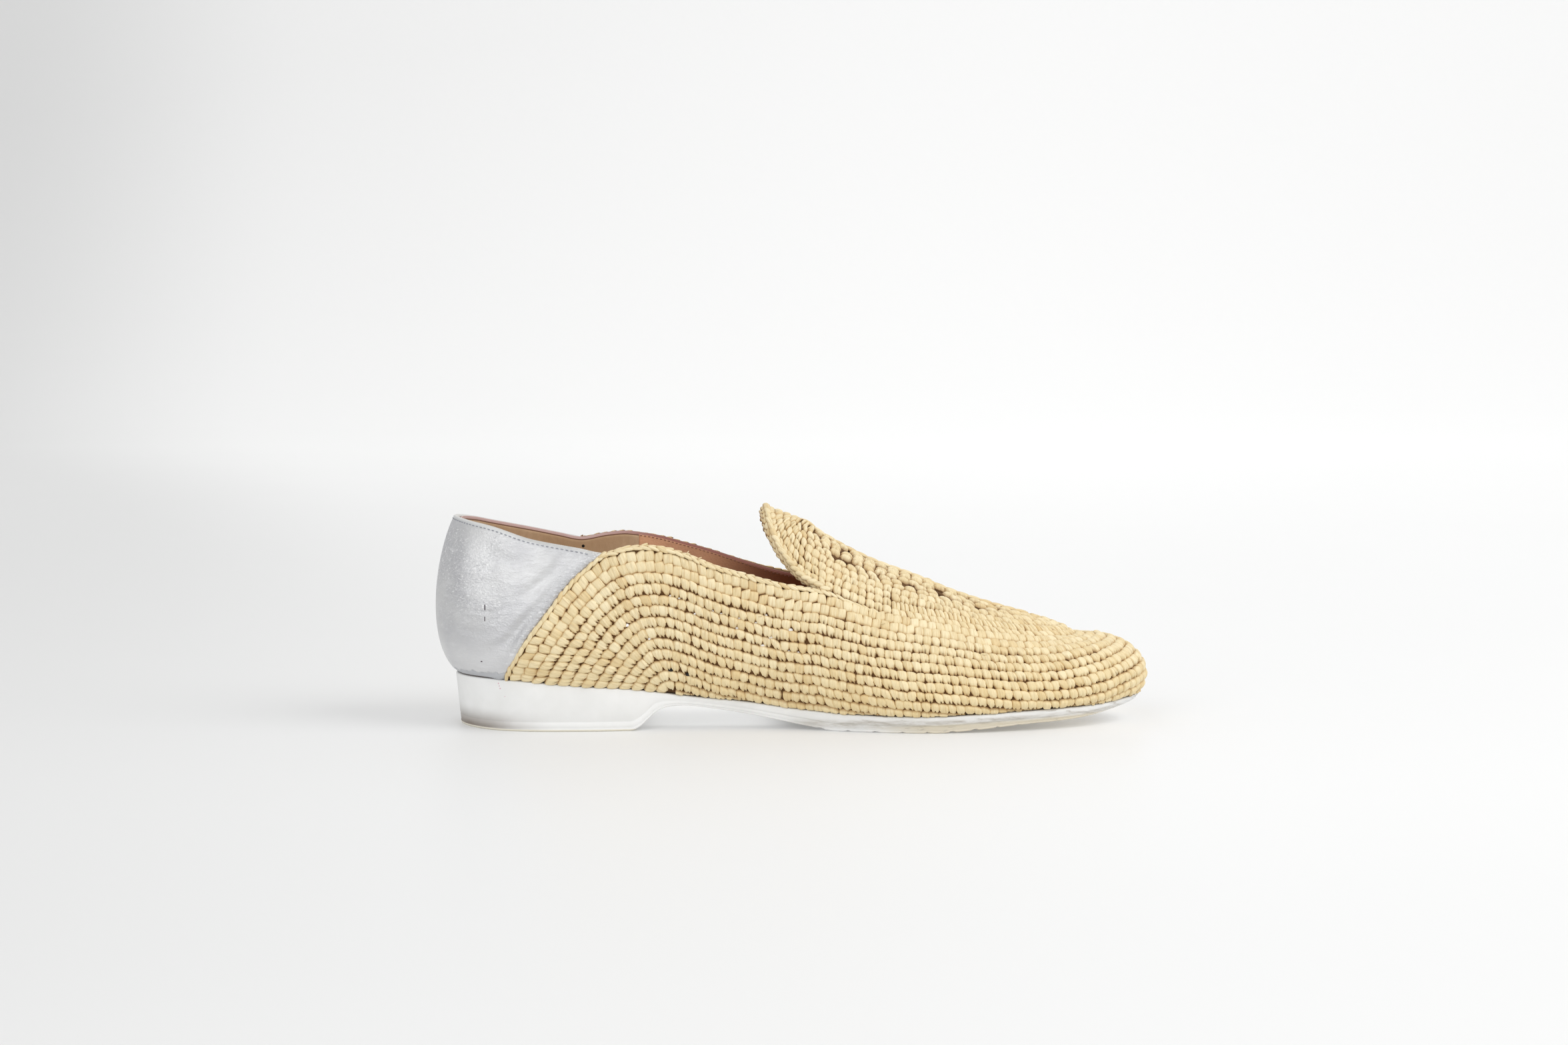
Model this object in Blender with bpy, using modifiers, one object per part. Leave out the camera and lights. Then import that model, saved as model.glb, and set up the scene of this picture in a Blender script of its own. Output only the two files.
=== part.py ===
"""A slip-on shoe: crocheted raffia upper with a raised tab, foil leather back, white moulded sole.

It is the left shoe of a pair. It stands on z = 0 with the toe towards +X and the inner (medial)
side towards -Y. Tables and sizes are in millimetres, and the meshes are in metres.
"""

import math

import bmesh
import bpy
import numpy as np
from mathutils import Matrix, Vector

MM = 0.001
UP = np.array([0.0, 0.0, 1.0])
SIDES = {"medial": -1.0, "lateral": 1.0}
SHARP_ANGLE = math.radians(35)

# Fineness of the searches on the wall's curves
HALVINGS = 36
ARC_SAMPLES = 61
SMALL_TURN = 1e-4
SMALL_REACH = 0.5
BELOW_FOOT = 0.0
PAST_TOP = 5.0

# Driving sizes
HEEL_END = -123.6
TOE_END = 127.2
THROAT_X = 9.5
GAP = 0.3
# Middle of the finished shoe's box in plan, which becomes the origin
PLAN_CENTRE = (-0.08, 1.03, 0.0)

# Upper: crocheted wall
RAFFIA_WALL = 2.4
RAFFIA_FOOT_WALL = 3.0
RAFFIA_RIDGE = 1.0
BRAID_RISE = 1.0
FOOT_INSET = 0.5
SIDE_ROWS = 12
TOP_ROWS = 6
INNER_SHARE = 4
REAR_STEPS = 6
COLLAR_BACK_STEPS = 3
COLLAR_STEPS = 7
VAMP_STEPS = 16
TAB_STEPS = 7
AXIS_REAR = 4.0
AXIS_FRONT = 86.0

# Openwork gaps of the vamp
HOLE_SIZE = (2.6, 1.8, 12.0)
EDGE_HOLES = 11
EDGE_HOLES_X = (26.0, 94.0)
EDGE_HOLE_SHARE = 0.86
MIDDLE_HOLES = 7
MIDDLE_HOLES_X = (12.0, 78.0)
MIDDLE_HOLE_SHARE = 0.2
MIDDLE_HOLE_STAGGER = 3.0

# Back panel: foil leather
LEATHER_WALL = 1.8
PANEL_COLUMNS = 12
PANEL_ROWS = 10

# Sole and insole
SOLE_STATIONS = 40
SOLE_STEP_HEIGHT = 3.5
SOLE_STEP_SHARE = 0.45
SOLE_STEP_DEPTH = 0.8
SOLE_DRAFT = 0.2
EDGE_ROUND = 0.6
INSOLE_THICK = 1.8
INSOLE_INSET = 4.2


def table(columns, *rows):
    """Named columns of a short table that has one row for each section."""
    return dict(zip(columns.split(), np.array(rows, float).T))


# Plan of the sole's top edge (the feather line) with its height
OUTLINE = table(
    "x medial lateral top",
    (HEEL_END, 0.0, 0.0, 18.6),
    (-118.0, 16.0, 16.0, 18.6),
    (-110.0, 23.0, 23.0, 18.5),
    (-100.0, 27.2, 27.2, 18.2),
    (-88.0, 28.8, 29.0, 17.2),
    (-75.0, 29.0, 30.0, 16.1),
    (-60.0, 28.0, 30.5, 15.1),
    (-40.0, 26.0, 31.0, 12.4),
    (-20.0, 25.5, 33.0, 10.3),
    (0.0, 28.5, 36.5, 7.8),
    (20.0, 34.5, 40.5, 6.3),
    (35.0, 38.5, 42.0, 6.0),
    (50.0, 40.0, 41.5, 6.1),
    (65.0, 39.0, 38.5, 6.7),
    (80.0, 36.0, 33.0, 7.3),
    (95.0, 31.5, 26.5, 7.7),
    (108.0, 25.5, 19.5, 8.1),
    (118.0, 18.0, 12.6, 8.9),
    (124.0, 11.8, 6.6, 9.6),
    (TOE_END, 2.5, -2.5, 9.9),
)

# Underside: flat heel, breast, raised waist, flat forefoot, toe spring
BOTTOM = table(
    "x z",
    (HEEL_END, 0.0),
    (-60.0, 0.0),
    (-57.0, 1.1),
    (-53.3, 4.3),
    (-50.7, 6.6),
    (-46.8, 8.4),
    (-41.5, 8.9),
    (-28.4, 7.4),
    (-10.0, 4.1),
    (4.0, 1.4),
    (14.0, 0.0),
    (50.0, 0.0),
    (60.0, 0.7),
    (79.0, 2.3),
    (101.0, 3.6),
    (111.0, 4.9),
    (119.0, 6.4),
    (TOE_END, 8.2),
)

# Top of the side wall over each station of the outline: the collar, then the edge of the vamp's plug
TOPLINE = table(
    "x top_x medial lateral",
    (HEEL_END, -123.7, 0.0, 0.0),
    (-118.0, -118.0, 14.2, 14.2),
    (-110.0, -110.0, 20.8, 20.8),
    (-100.0, -100.0, 25.2, 25.2),
    (-88.0, -88.0, 27.8, 27.8),
    (-60.0, -60.0, 29.5, 29.5),
    (-20.0, -20.0, 29.0, 29.8),
    (THROAT_X, THROAT_X, 27.2, 27.6),
    (35.0, 33.0, 27.0, 27.0),
    (50.0, 46.5, 26.2, 26.2),
    (65.0, 59.5, 24.5, 24.5),
    (80.0, 72.0, 22.0, 22.0),
    (95.0, 84.0, 18.0, 18.0),
    (108.0, 94.0, 13.0, 13.0),
    (118.0, 100.5, 7.8, 7.8),
    (124.0, 103.3, 3.4, 3.4),
    (TOE_END, 104.0, 0.0, 0.0),
)

# Height of the collar on each side
COLLAR = table(
    "x medial lateral",
    (HEEL_END, 76.2, 76.2),
    (-110.0, 73.8, 72.4),
    (-95.0, 69.3, 69.0),
    (-86.0, 67.6, 67.0),
    (-78.0, 66.2, 65.4),
    (-69.0, 64.5, 66.8),
    (-62.0, 66.5, 67.4),
    (-54.5, 67.1, 66.6),
    (-48.0, 66.4, 65.4),
    (-40.0, 64.1, 63.2),
    (-30.0, 60.0, 60.4),
    (-16.0, 55.9, 55.9),
    (-4.0, 52.8, 52.8),
    (THROAT_X, 50.6, 50.6),
)

# Vamp plug and tab: height of the spine and how hard the arch bends down from it
PLUG = table(
    "x spine bend",
    (-10.6, 78.3, 0.041),
    (-8.8, 77.8, 0.042),
    (-1.0, 74.8, 0.039),
    (4.0, 72.8, 0.033),
    (THROAT_X, 68.7, 0.0245),
    (29.0, 58.2, 0.0210),
    (44.5, 52.4, 0.0186),
    (59.0, 46.4, 0.0162),
    (74.0, 41.6, 0.0166),
    (88.0, 37.8, 0.0215),
    (95.0, 35.8, 0.026),
    (100.0, 33.7, 0.035),
    (104.0, 31.6, 0.045),
)

# Sideways place of the spine
SPINE = table("x y", (-131.0, 0.0), (-60.0, 0.6), (50.0, 0.6), (80.0, -1.0), (104.0, -2.0), (131.0, -2.5))

# Free edge of the tab, from the throat corner to its tip
TAB = table(
    "share x half_width",
    (0.0, THROAT_X, 27.2),
    (0.2, 4.0, 24.2),
    (0.4, -1.0, 21.0),
    (0.6, -6.6, 16.6),
    (0.8, -9.6, 11.0),
    (0.9, -10.4, 6.0),
    (1.0, -10.6, 0.0),
)

# Handles of the side wall's section at its foot and at its top
RIB = table(
    "x foot_out foot_up top_out top_down",
    (HEEL_END, 11.4, 8.4, 8.4, 17.2),
    (-100.0, 7.4, 8.5, 4.5, 18.0),
    (-60.0, 6.0, 8.5, 3.0, 18.0),
    (-20.0, 7.0, 8.0, 3.0, 15.0),
    (THROAT_X, 6.5, 7.0, 8.0, 12.0),
    (50.0, 6.0, 6.5, 12.0, 12.0),
    (80.0, 6.0, 6.2, 13.0, 10.0),
    (108.0, 6.2, 6.1, 19.0, 5.0),
    (118.0, 6.3, 6.1, 24.0, 2.0),
    (TOE_END, 6.3, 6.1, 27.0, 0.6),
)

# Rear edge of the raffia: an arc about a point on the feather line, where its rows fan out
FAN_X = {"medial": -45.0, "lateral": -53.0}
JUNCTION_X = {"medial": -69.0, "lateral": -78.0}
REAR_EDGE = table("share radius", (0.0, 60.9), (0.25, 56.5), (0.5, 54.2), (0.8, 55.3), (1.0, 56.9))
REAR_CORNER_RISE = 5.0


def curve(knots, values, level_ends=False):
    """A smooth function through the points that never swings past them, level at its ends on request."""
    step = np.diff(knots)
    slope = np.diff(values) / step
    before = 2.0 * step[1:] + step[:-1]
    after = step[1:] + 2.0 * step[:-1]
    same_way = slope[1:] * slope[:-1] > 0
    first = np.where(same_way, slope[:-1], 1.0)
    second = np.where(same_way, slope[1:], 1.0)
    middle = np.where(same_way, (before + after) / (before / first + after / second), 0.0)
    tangent = np.concatenate([slope[:1], middle, slope[-1:]])
    if level_ends:
        tangent[[0, -1]] = 0.0

    def at(place):
        place = np.clip(np.asarray(place, float), knots[0], knots[-1])
        i = np.clip(np.searchsorted(knots, place) - 1, 0, len(step) - 1)
        u = (place - knots[i]) / step[i]
        ends = values[i] * (1 + 2 * u) * (1 - u) ** 2 + values[i + 1] * u**2 * (3 - 2 * u)
        leans = tangent[i] * u * (1 - u) ** 2 - tangent[i + 1] * u**2 * (1 - u)
        return ends + leans * step[i]

    return at


def turn_of(x):
    """Angle that runs from 0 at the heel end to pi at the toe end, so that both ends come out round."""
    middle = (HEEL_END + TOE_END) / 2
    half = (TOE_END - HEEL_END) / 2
    return np.arccos(np.clip((middle - np.asarray(x, float)) / half, -1.0, 1.0))


def x_of(turn):
    middle = (HEEL_END + TOE_END) / 2
    half = (TOE_END - HEEL_END) / 2
    return middle - half * np.cos(turn)


def over_turn(data, column, level_ends=False):
    return curve(turn_of(data["x"]), data[column], level_ends)


feather_top = curve(OUTLINE["x"], OUTLINE["top"])
underside = curve(BOTTOM["x"], BOTTOM["z"])
spine_y = curve(SPINE["x"], SPINE["y"])
plug_spine = curve(PLUG["x"], PLUG["spine"])
plug_bend = curve(PLUG["x"], PLUG["bend"])
top_x = over_turn(TOPLINE, "top_x", True)
feather_half = {side: over_turn(OUTLINE, side) for side in SIDES}
top_half = {side: over_turn(TOPLINE, side) for side in SIDES}
collar_height = {side: curve(COLLAR["x"], COLLAR[side]) for side in SIDES}
rib_handle = {name: over_turn(RIB, name, True) for name in ("foot_out", "foot_up", "top_out", "top_down")}


def plug_height(x, y):
    """Height of the vamp's plug, or of the tab, over a point of the plan."""
    return plug_spine(x) - plug_bend(x) * (y - spine_y(x)) ** 2


def outward(side, turn):
    """Unit vector of the plan that points out of the outline."""
    low = np.clip(turn - SMALL_TURN, 0, math.pi)
    high = np.clip(turn + SMALL_TURN, 0, math.pi)
    along = (TOE_END - HEEL_END) / 2 * np.sin(turn)
    across = (feather_half[side](high) - feather_half[side](low)) / (high - low)
    length = np.hypot(along, across)
    return np.stack([-across / length, SIDES[side] * along / length, 0 * along], axis=-1)


def feather(side, turn, inset=0.0):
    """Point of the feather line, moved into the plan by the inset."""
    x = x_of(turn)
    point = np.stack([x, SIDES[side] * feather_half[side](turn), feather_top(x)], axis=-1)
    return point - inset * outward(side, turn)


def topline(side, turn):
    """Top of the side wall: the collar, then the edge of the plug."""
    x = top_x(turn)
    y = spine_y(x) + SIDES[side] * top_half[side](turn)
    z = np.where(x < THROAT_X - GAP, collar_height[side](x), plug_height(x, y))
    return np.stack([x, y, z], axis=-1)


def wall(side, turn, share):
    """Point of the side wall's outer face, at a share of the way from the feather line to the top."""
    foot = feather(side, turn, FOOT_INSET) + GAP * UP
    top = topline(side, turn)
    out = outward(side, turn)
    handle = {name: rule(turn)[..., None] for name, rule in rib_handle.items()}
    low = foot + handle["foot_out"] * out + handle["foot_up"] * UP
    high = top + handle["top_out"] * out - handle["top_down"] * UP
    t = np.asarray(share, float)[..., None]
    near = foot * (1 - t) ** 3 + 3 * low * t * (1 - t) ** 2
    return near + 3 * high * t**2 * (1 - t) + top * t**3


def bisect(low, high, is_below):
    """Value between low and high where is_below turns false."""
    for _ in range(HALVINGS):
        middle = (low + high) / 2
        below = is_below(middle)
        low = np.where(below, middle, low)
        high = np.where(below, high, middle)
    return (low + high) / 2


def share_at(side, turn, z):
    return bisect(0 * z, 0 * z + 1, lambda share: wall(side, turn, share)[..., 2] < z)


def seen_at(side, x, z):
    """Turn and share of the wall point that a view from the side shows at x and z."""

    def is_behind(turn):
        return wall(side, turn, share_at(side, turn, z))[..., 0] < x

    turn = bisect(0 * x, 0 * x + turn_of(THROAT_X), is_behind)
    return turn, share_at(side, turn, z)


def rear_edge(side, shares, clearance=0.0):
    """Points in side view of the raffia's rear edge, from the feather line up to the collar."""
    centre = np.array([FAN_X[side], feather_top(FAN_X[side])])
    junction = np.array([JUNCTION_X[side], collar_height[side](JUNCTION_X[side])])
    last = math.atan2(*(junction - centre)[::-1])
    first = math.pi - math.asin(REAR_CORNER_RISE / REAR_EDGE["radius"][0])
    angle = first + (last - first) * shares
    radius = curve(REAR_EDGE["share"], REAR_EDGE["radius"])(shares) + clearance
    return centre + radius[:, None] * np.stack([np.cos(angle), np.sin(angle)], axis=-1)


def even_shares(side, turn, count):
    """Shares that cut each rib of the wall into lengths that are equal along its face."""
    fine = np.linspace(0, 1, ARC_SAMPLES)
    cuts = []
    for value in turn:
        line = wall(side, np.full(len(fine), value), fine)
        length = np.concatenate([[0], np.cumsum(np.linalg.norm(np.diff(line, axis=0), axis=1))])
        cuts.append(np.interp(np.linspace(0, length[-1], count), length, fine))
    return np.array(cuts)


def fan_grid(side, levels):
    """Rear quarter: rows concentric about a point on the feather line. Indexed by station, then level."""
    centre_x = FAN_X[side]
    edge = rear_edge(side, np.linspace(0, 1, REAR_STEPS + 1))
    collar_x = np.linspace(JUNCTION_X[side], centre_x, COLLAR_BACK_STEPS + 1)[1:]
    collar = np.stack([collar_x, collar_height[side](collar_x)], axis=-1)
    ends = np.concatenate([edge, collar])
    centre = np.array([centre_x, feather_top(centre_x)])
    view = centre + np.linspace(0, 1, levels)[None, :, None] * (ends - centre)[:, None, :]
    view[0, :, 1] = BELOW_FOOT
    view[:, 0, 1] = BELOW_FOOT
    view[REAR_STEPS:, -1, 1] += PAST_TOP
    turn, share = seen_at(side, view[..., 0], view[..., 1])
    return wall(side, turn, share)


def band_grid(side, levels):
    """Side of the upper from its rear edge to the middle of the toe, by station and level."""
    collar = turn_of(np.linspace(FAN_X[side], THROAT_X, COLLAR_STEPS + 1)[1:])
    vamp = np.linspace(turn_of(THROAT_X), math.pi, VAMP_STEPS + 1)[1:]
    turn = np.concatenate([collar, vamp])
    share = even_shares(side, turn, levels)
    front = wall(side, np.repeat(turn[:, None], levels, axis=1), share)
    return np.concatenate([fan_grid(side, levels), front])


def plug_rim(side):
    """Plan of the plug's rim from the middle of the toe to the tip of the tab."""
    turn = np.linspace(math.pi, turn_of(THROAT_X), VAMP_STEPS + 1)
    front = topline(side, turn)[:, :2]
    share = np.linspace(0, 1, TAB_STEPS + 1)[1:]
    x = curve(TAB["share"], TAB["x"])(share)
    half = curve(TAB["share"], TAB["half_width"])(share)
    half *= top_half[side](turn_of(THROAT_X)) / TAB["half_width"][0]
    tab = np.stack([x, spine_y(x) + SIDES[side] * half], axis=-1)
    return np.concatenate([front, tab])


def plug_grid(side, levels):
    """Half of the vamp's plug with its tab, by station and level: rings about an axis along the spine."""
    rim = plug_rim(side)
    run = (rim[:, 0] - PLUG["x"][0]) / (PLUG["x"][-1] - PLUG["x"][0])
    axis_x = AXIS_REAR + run * (AXIS_FRONT - AXIS_REAR)
    axis = np.stack([axis_x, spine_y(axis_x)], axis=-1)
    plan = rim[:, None] + np.linspace(0, 1, levels)[None, :, None] * (axis - rim)[:, None, :]
    height = plug_height(plan[..., 0], plan[..., 1])
    return np.concatenate([plan, height[..., None]], axis=-1)


def quads(index, turned):
    """Corner indices of a grid's faces, turned over on request."""
    corners = np.stack([index[:-1, :-1], index[1:, :-1], index[1:, 1:], index[:-1, 1:]], axis=-1)
    corners = corners.reshape(-1, 4)
    return corners[:, ::-1] if turned else corners


def without_repeats(face):
    return [corner for i, corner in enumerate(face) if corner != face[i - 1]]


def real_faces(corners):
    faces = [without_repeats(list(face)) for face in corners]
    return [face for face in faces if len(face) > 2]


def outer_normals(points, faces):
    """Mean outward direction of the faces at each point."""
    total = np.zeros_like(points)
    for face in faces:
        corners = points[face]
        following = np.roll(corners, -1, axis=0)
        total[face] += np.cross(corners, following).sum(axis=0)
    return total / np.linalg.norm(total, axis=1, keepdims=True)


def border_of(faces):
    """Following corner of each corner on the open border of some faces."""
    steps = {(face[i - 1], face[i]) for face in faces for i in range(len(face))}
    return {a: b for a, b in steps if (b, a) not in steps}


def make_object(name, points, faces, material, collection):
    mesh = bpy.data.meshes.new(name)
    mesh.from_pydata(np.asarray(points) * MM, [], [list(map(int, face)) for face in faces])
    body = bmesh.new()
    body.from_mesh(mesh)
    bmesh.ops.remove_doubles(body, verts=body.verts, dist=1e-6)
    bmesh.ops.recalc_face_normals(body, faces=body.faces)
    body.to_mesh(mesh)
    body.free()
    mesh.materials.append(material)
    mesh.shade_smooth()
    mesh.set_sharp_from_angle(angle=SHARP_ANGLE)
    thing = bpy.data.objects.new(name, mesh)
    collection.objects.link(thing)
    return thing


def make_upper(material, collection, cutters):
    """One crocheted wall: raised rows outside, a smooth face inside, open at the collar and underneath."""
    side_levels = 2 * SIDE_ROWS + 1
    plug_levels = 2 * TOP_ROWS + 1
    blocks = []
    for side in SIDES:
        blocks.append((side == "lateral", True, band_grid(side, side_levels)))
        blocks.append((side == "medial", False, plug_grid(side, plug_levels)))
    every_point = np.concatenate([grid.reshape(-1, 3) for _, _, grid in blocks])
    _, first, index = np.unique(np.round(every_point, 3), axis=0, return_index=True, return_inverse=True)
    points = every_point[first]
    index = index.reshape(-1)

    rise = np.zeros(len(points))
    at_foot = np.zeros(len(points), bool)
    fine, coarse = [], []
    used = 0
    for turned, is_band, grid in blocks:
        stations, levels = grid.shape[:2]
        block = index[used : used + stations * levels].reshape(stations, levels)
        used += stations * levels
        if is_band:
            rise[block[:, -1]] = BRAID_RISE
            at_foot[block[0, :-1]] = True
            at_foot[block[:, 0]] = True
        rise[block[:, 1::2]] = RAFFIA_RIDGE
        fine += real_faces(quads(block, turned))
        coarse += real_faces(quads(block[:, ::INNER_SHARE], turned))

    rise[at_foot] = 0.0
    normal = outer_normals(points, fine)
    outer = points + rise[:, None] * normal
    level = normal * (1, 1, 0)
    level /= np.maximum(np.linalg.norm(level, axis=1, keepdims=True), 1e-6)
    inner = points - np.where(at_foot[:, None], RAFFIA_FOOT_WALL * level, RAFFIA_WALL * normal)

    shift = len(points)
    faces = fine + [[corner + shift for corner in face[::-1]] for face in coarse]
    following = border_of(fine)
    for start, end in border_of(coarse).items():
        path = [start]
        while path[-1] != end:
            path.append(following[path[-1]])
        faces.append(path[::-1] + [start + shift, end + shift])

    used_corners = sorted({corner for face in faces for corner in face})
    renamed = {old: new for new, old in enumerate(used_corners)}
    every = np.concatenate([outer, inner])[used_corners]
    faces = [[renamed[corner] for corner in face] for face in faces]
    upper = make_object("upper", every, faces, material, collection)
    cut = upper.modifiers.new("openwork", "BOOLEAN")
    cut.object = make_hole_cutter(cutters)
    cut.operation = "DIFFERENCE"
    cut.solver = "EXACT"
    return upper


def hole_places():
    """Plan points of the openwork gaps: a row along each edge of the plug and a scatter by its axis."""
    for side, sign in SIDES.items():
        rim = plug_rim(side)[: VAMP_STEPS + 1][::-1]
        for x in np.linspace(*EDGE_HOLES_X, EDGE_HOLES):
            half = np.interp(x, rim[:, 0], np.abs(rim[:, 1] - spine_y(rim[:, 0])))
            yield x, spine_y(x) + sign * EDGE_HOLE_SHARE * half
        for x in np.linspace(*MIDDLE_HOLES_X, MIDDLE_HOLES):
            half = np.interp(x, rim[:, 0], np.abs(rim[:, 1] - spine_y(rim[:, 0])))
            yield x + MIDDLE_HOLE_STAGGER * sign, spine_y(x) + sign * MIDDLE_HOLE_SHARE * half


def make_hole_cutter(collection):
    """Small boxes that stand square to the plug at each gap."""
    body = bmesh.new()
    for x, y in hole_places():
        height = plug_height(x, y)
        along = Vector((SMALL_REACH, 0, plug_height(x + SMALL_REACH, y) - height)).normalized()
        across = Vector((0, SMALL_REACH, plug_height(x, y + SMALL_REACH) - height)).normalized()
        up = along.cross(across).normalized()
        across = up.cross(along)
        axes = Matrix((along, across, up)).transposed().to_4x4()
        place = Matrix.Translation(Vector((x, y, height)) * MM)
        sizes = Matrix.Diagonal(Vector((*HOLE_SIZE, 1 / MM)) * MM)
        bmesh.ops.create_cube(body, size=1.0, matrix=place @ axes @ sizes)
    mesh = bpy.data.meshes.new("openwork_cutter")
    body.to_mesh(mesh)
    body.free()
    cutter = bpy.data.objects.new("openwork_cutter", mesh)
    cutter.hide_render = True
    cutter.display_type = "WIRE"
    collection.objects.link(cutter)
    return cutter


def make_heel_panel(material, collection):
    """Foil leather back: the wall's own surface behind the raffia's rear edge, given its thickness."""
    rows = np.linspace(0, 1, PANEL_ROWS + 1)
    halves = {}
    for side in SIDES:
        edge = rear_edge(side, rows, GAP)
        edge[0, 1] = BELOW_FOOT
        edge[-1, 1] += PAST_TOP
        turn, share = seen_at(side, edge[:, 0], edge[:, 1])
        back = np.linspace(0, 1, PANEL_COLUMNS + 1)[:, None]
        ease = back**2 * (3 - 2 * back)
        halves[side] = wall(side, turn * (1 - back), share + (rows - share) * ease)
    grid = np.concatenate([halves["medial"], halves["lateral"][::-1][1:]])
    points = grid.reshape(-1, 3)
    faces = quads(np.arange(len(points)).reshape(grid.shape[:2]), True)
    panel = make_object("heel_panel", points, faces, material, collection)
    middle = panel.data.polygons[len(panel.data.polygons) // 2]
    if middle.normal.x > 0:
        panel.data.flip_normals()
    thickness = panel.modifiers.new("leather", "SOLIDIFY")
    thickness.thickness = LEATHER_WALL * MM
    thickness.offset = -1.0
    return panel


def slab(name, rings, material, collection):
    """Closed solid from rings of the plan, listed from the top down as an inset and a height rule."""
    turn = np.union1d(np.linspace(0, math.pi, SOLE_STATIONS + 1), turn_of(BOTTOM["x"][1:-1]))
    x = x_of(turn)
    loops = []
    for inset, height in rings:
        halves = []
        for side in SIDES:
            line = feather(side, turn, inset)
            line[:, 2] = height(x)
            halves.append(line)
        loops.append(np.concatenate([halves[0], halves[1][::-1][1:-1]]))
    count = len(loops[0])
    points = np.concatenate(loops)
    index = np.arange(len(points)).reshape(len(rings), count)
    around = np.concatenate([index, index[:, :1]], axis=1)
    faces = list(quads(around, False))
    for loop in (index[0], index[-1]):
        near = loop[: len(turn)]
        far = np.concatenate([loop[:1], loop[len(turn) :][::-1], near[-1:]])
        faces += list(quads(np.stack([near, far]), False))
    return make_object(name, points, real_faces(faces), material, collection)


def make_sole(material, collection):
    """One moulding: heel, waist and forefoot, with a step along its side."""

    def step_height(x):
        side_height = feather_top(x) - underside(x)
        return underside(x) + np.minimum(SOLE_STEP_HEIGHT, SOLE_STEP_SHARE * side_height)

    rings = (
        (EDGE_ROUND, feather_top),
        (0.0, lambda x: feather_top(x) - EDGE_ROUND),
        (SOLE_DRAFT, lambda x: step_height(x) + EDGE_ROUND / 2),
        (SOLE_STEP_DEPTH, step_height),
        (SOLE_STEP_DEPTH + SOLE_DRAFT, lambda x: underside(x) + EDGE_ROUND),
        (SOLE_STEP_DEPTH + EDGE_ROUND, underside),
    )
    return slab("sole", rings, material, collection)


def make_insole(material, collection):
    """Leather sock that lies on the sole inside the wall's foot."""
    rings = (
        (INSOLE_INSET, lambda x: feather_top(x) + GAP + INSOLE_THICK),
        (INSOLE_INSET, lambda x: feather_top(x) + GAP),
    )
    return slab("insole", rings, material, collection)


def make_material(name, colour, roughness, metallic=0.0):
    material = bpy.data.materials.new(name)
    material.use_nodes = True
    surface = material.node_tree.nodes["Principled BSDF"]
    surface.inputs["Base Color"].default_value = (*colour, 1.0)
    surface.inputs["Roughness"].default_value = roughness
    surface.inputs["Metallic"].default_value = metallic
    return material


def make_collection(name):
    collection = bpy.data.collections.new(name)
    bpy.context.scene.collection.children.link(collection)
    return collection


def main():
    for thing in list(bpy.data.objects):
        bpy.data.objects.remove(thing)
    parts = make_collection("raffia_slip_on")
    cutters = make_collection("cutters")
    make_sole(make_material("white rubber", (0.80, 0.80, 0.79), 0.45), parts)
    make_upper(make_material("raffia", (0.78, 0.64, 0.40), 0.65), parts, cutters)
    make_heel_panel(make_material("foil leather", (0.72, 0.72, 0.76), 0.35, 0.8), parts)
    make_insole(make_material("sock leather", (0.45, 0.27, 0.16), 0.6), parts)
    origin = bpy.data.objects.new("origin", None)
    origin.location = -Vector(PLAN_CENTRE) * MM
    parts.objects.link(origin)
    for thing in [*parts.objects, *cutters.objects]:
        if thing is not origin:
            thing.parent = origin
    bpy.context.view_layer.update()


main()
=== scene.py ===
"""Looks of the raffia slip-on: crocheted upper, foil leather back, leather lining, white moulded sole.

Tables and sizes are in millimetres, in the same model space as the part's source. make_piece moves
them into the frame, in metres. The toe points to +X and the medial side to -Y.
"""

import math

import bmesh
import bpy
import numpy as np
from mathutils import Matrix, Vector


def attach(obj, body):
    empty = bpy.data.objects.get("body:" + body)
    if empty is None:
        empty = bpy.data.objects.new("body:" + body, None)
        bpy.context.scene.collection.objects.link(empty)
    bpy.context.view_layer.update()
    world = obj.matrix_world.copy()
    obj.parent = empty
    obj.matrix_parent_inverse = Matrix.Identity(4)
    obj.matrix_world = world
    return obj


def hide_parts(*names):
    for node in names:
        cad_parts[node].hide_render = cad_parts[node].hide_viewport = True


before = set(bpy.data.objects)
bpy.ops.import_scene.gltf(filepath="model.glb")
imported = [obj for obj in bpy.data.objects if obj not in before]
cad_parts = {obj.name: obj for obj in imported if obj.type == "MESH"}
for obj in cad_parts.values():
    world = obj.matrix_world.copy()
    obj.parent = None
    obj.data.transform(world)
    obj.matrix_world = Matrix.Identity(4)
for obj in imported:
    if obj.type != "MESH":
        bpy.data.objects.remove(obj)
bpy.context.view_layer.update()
dice = np.random.default_rng(38)

MM = 0.001
UP = np.array([0.0, 0.0, 1.0])
SIDES = {"medial": -1.0, "lateral": 1.0}
# Point of the model space that lies at the frame's origin
PLAN_CENTRE = np.array([-0.08, 1.03, 0.0])
# Steps for slopes, and rounds of halving for a search
SMALL_TURN = 1e-4
SMALL_STEP = 2e-3
HALVINGS = 28

# Sizes that the solids share
HEEL_END = -123.6
TOE_END = 127.2
PLAN_MIDDLE = (HEEL_END + TOE_END) / 2
PLAN_HALF = (TOE_END - HEEL_END) / 2
THROAT_X = 9.5
GAP = 0.3
FOOT_INSET = 0.5
AXIS_REAR = 4.0
AXIS_FRONT = 86.0
BELOW_FOOT = 0.0
PAST_TOP = 5.0
INSOLE_THICK = 1.8
INSOLE_INSET = 4.2
MIDDLE_HOLES = 7
MIDDLE_HOLES_X = (12.0, 78.0)
MIDDLE_HOLE_SHARE = 0.2
MIDDLE_HOLE_STAGGER = 3.0

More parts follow.
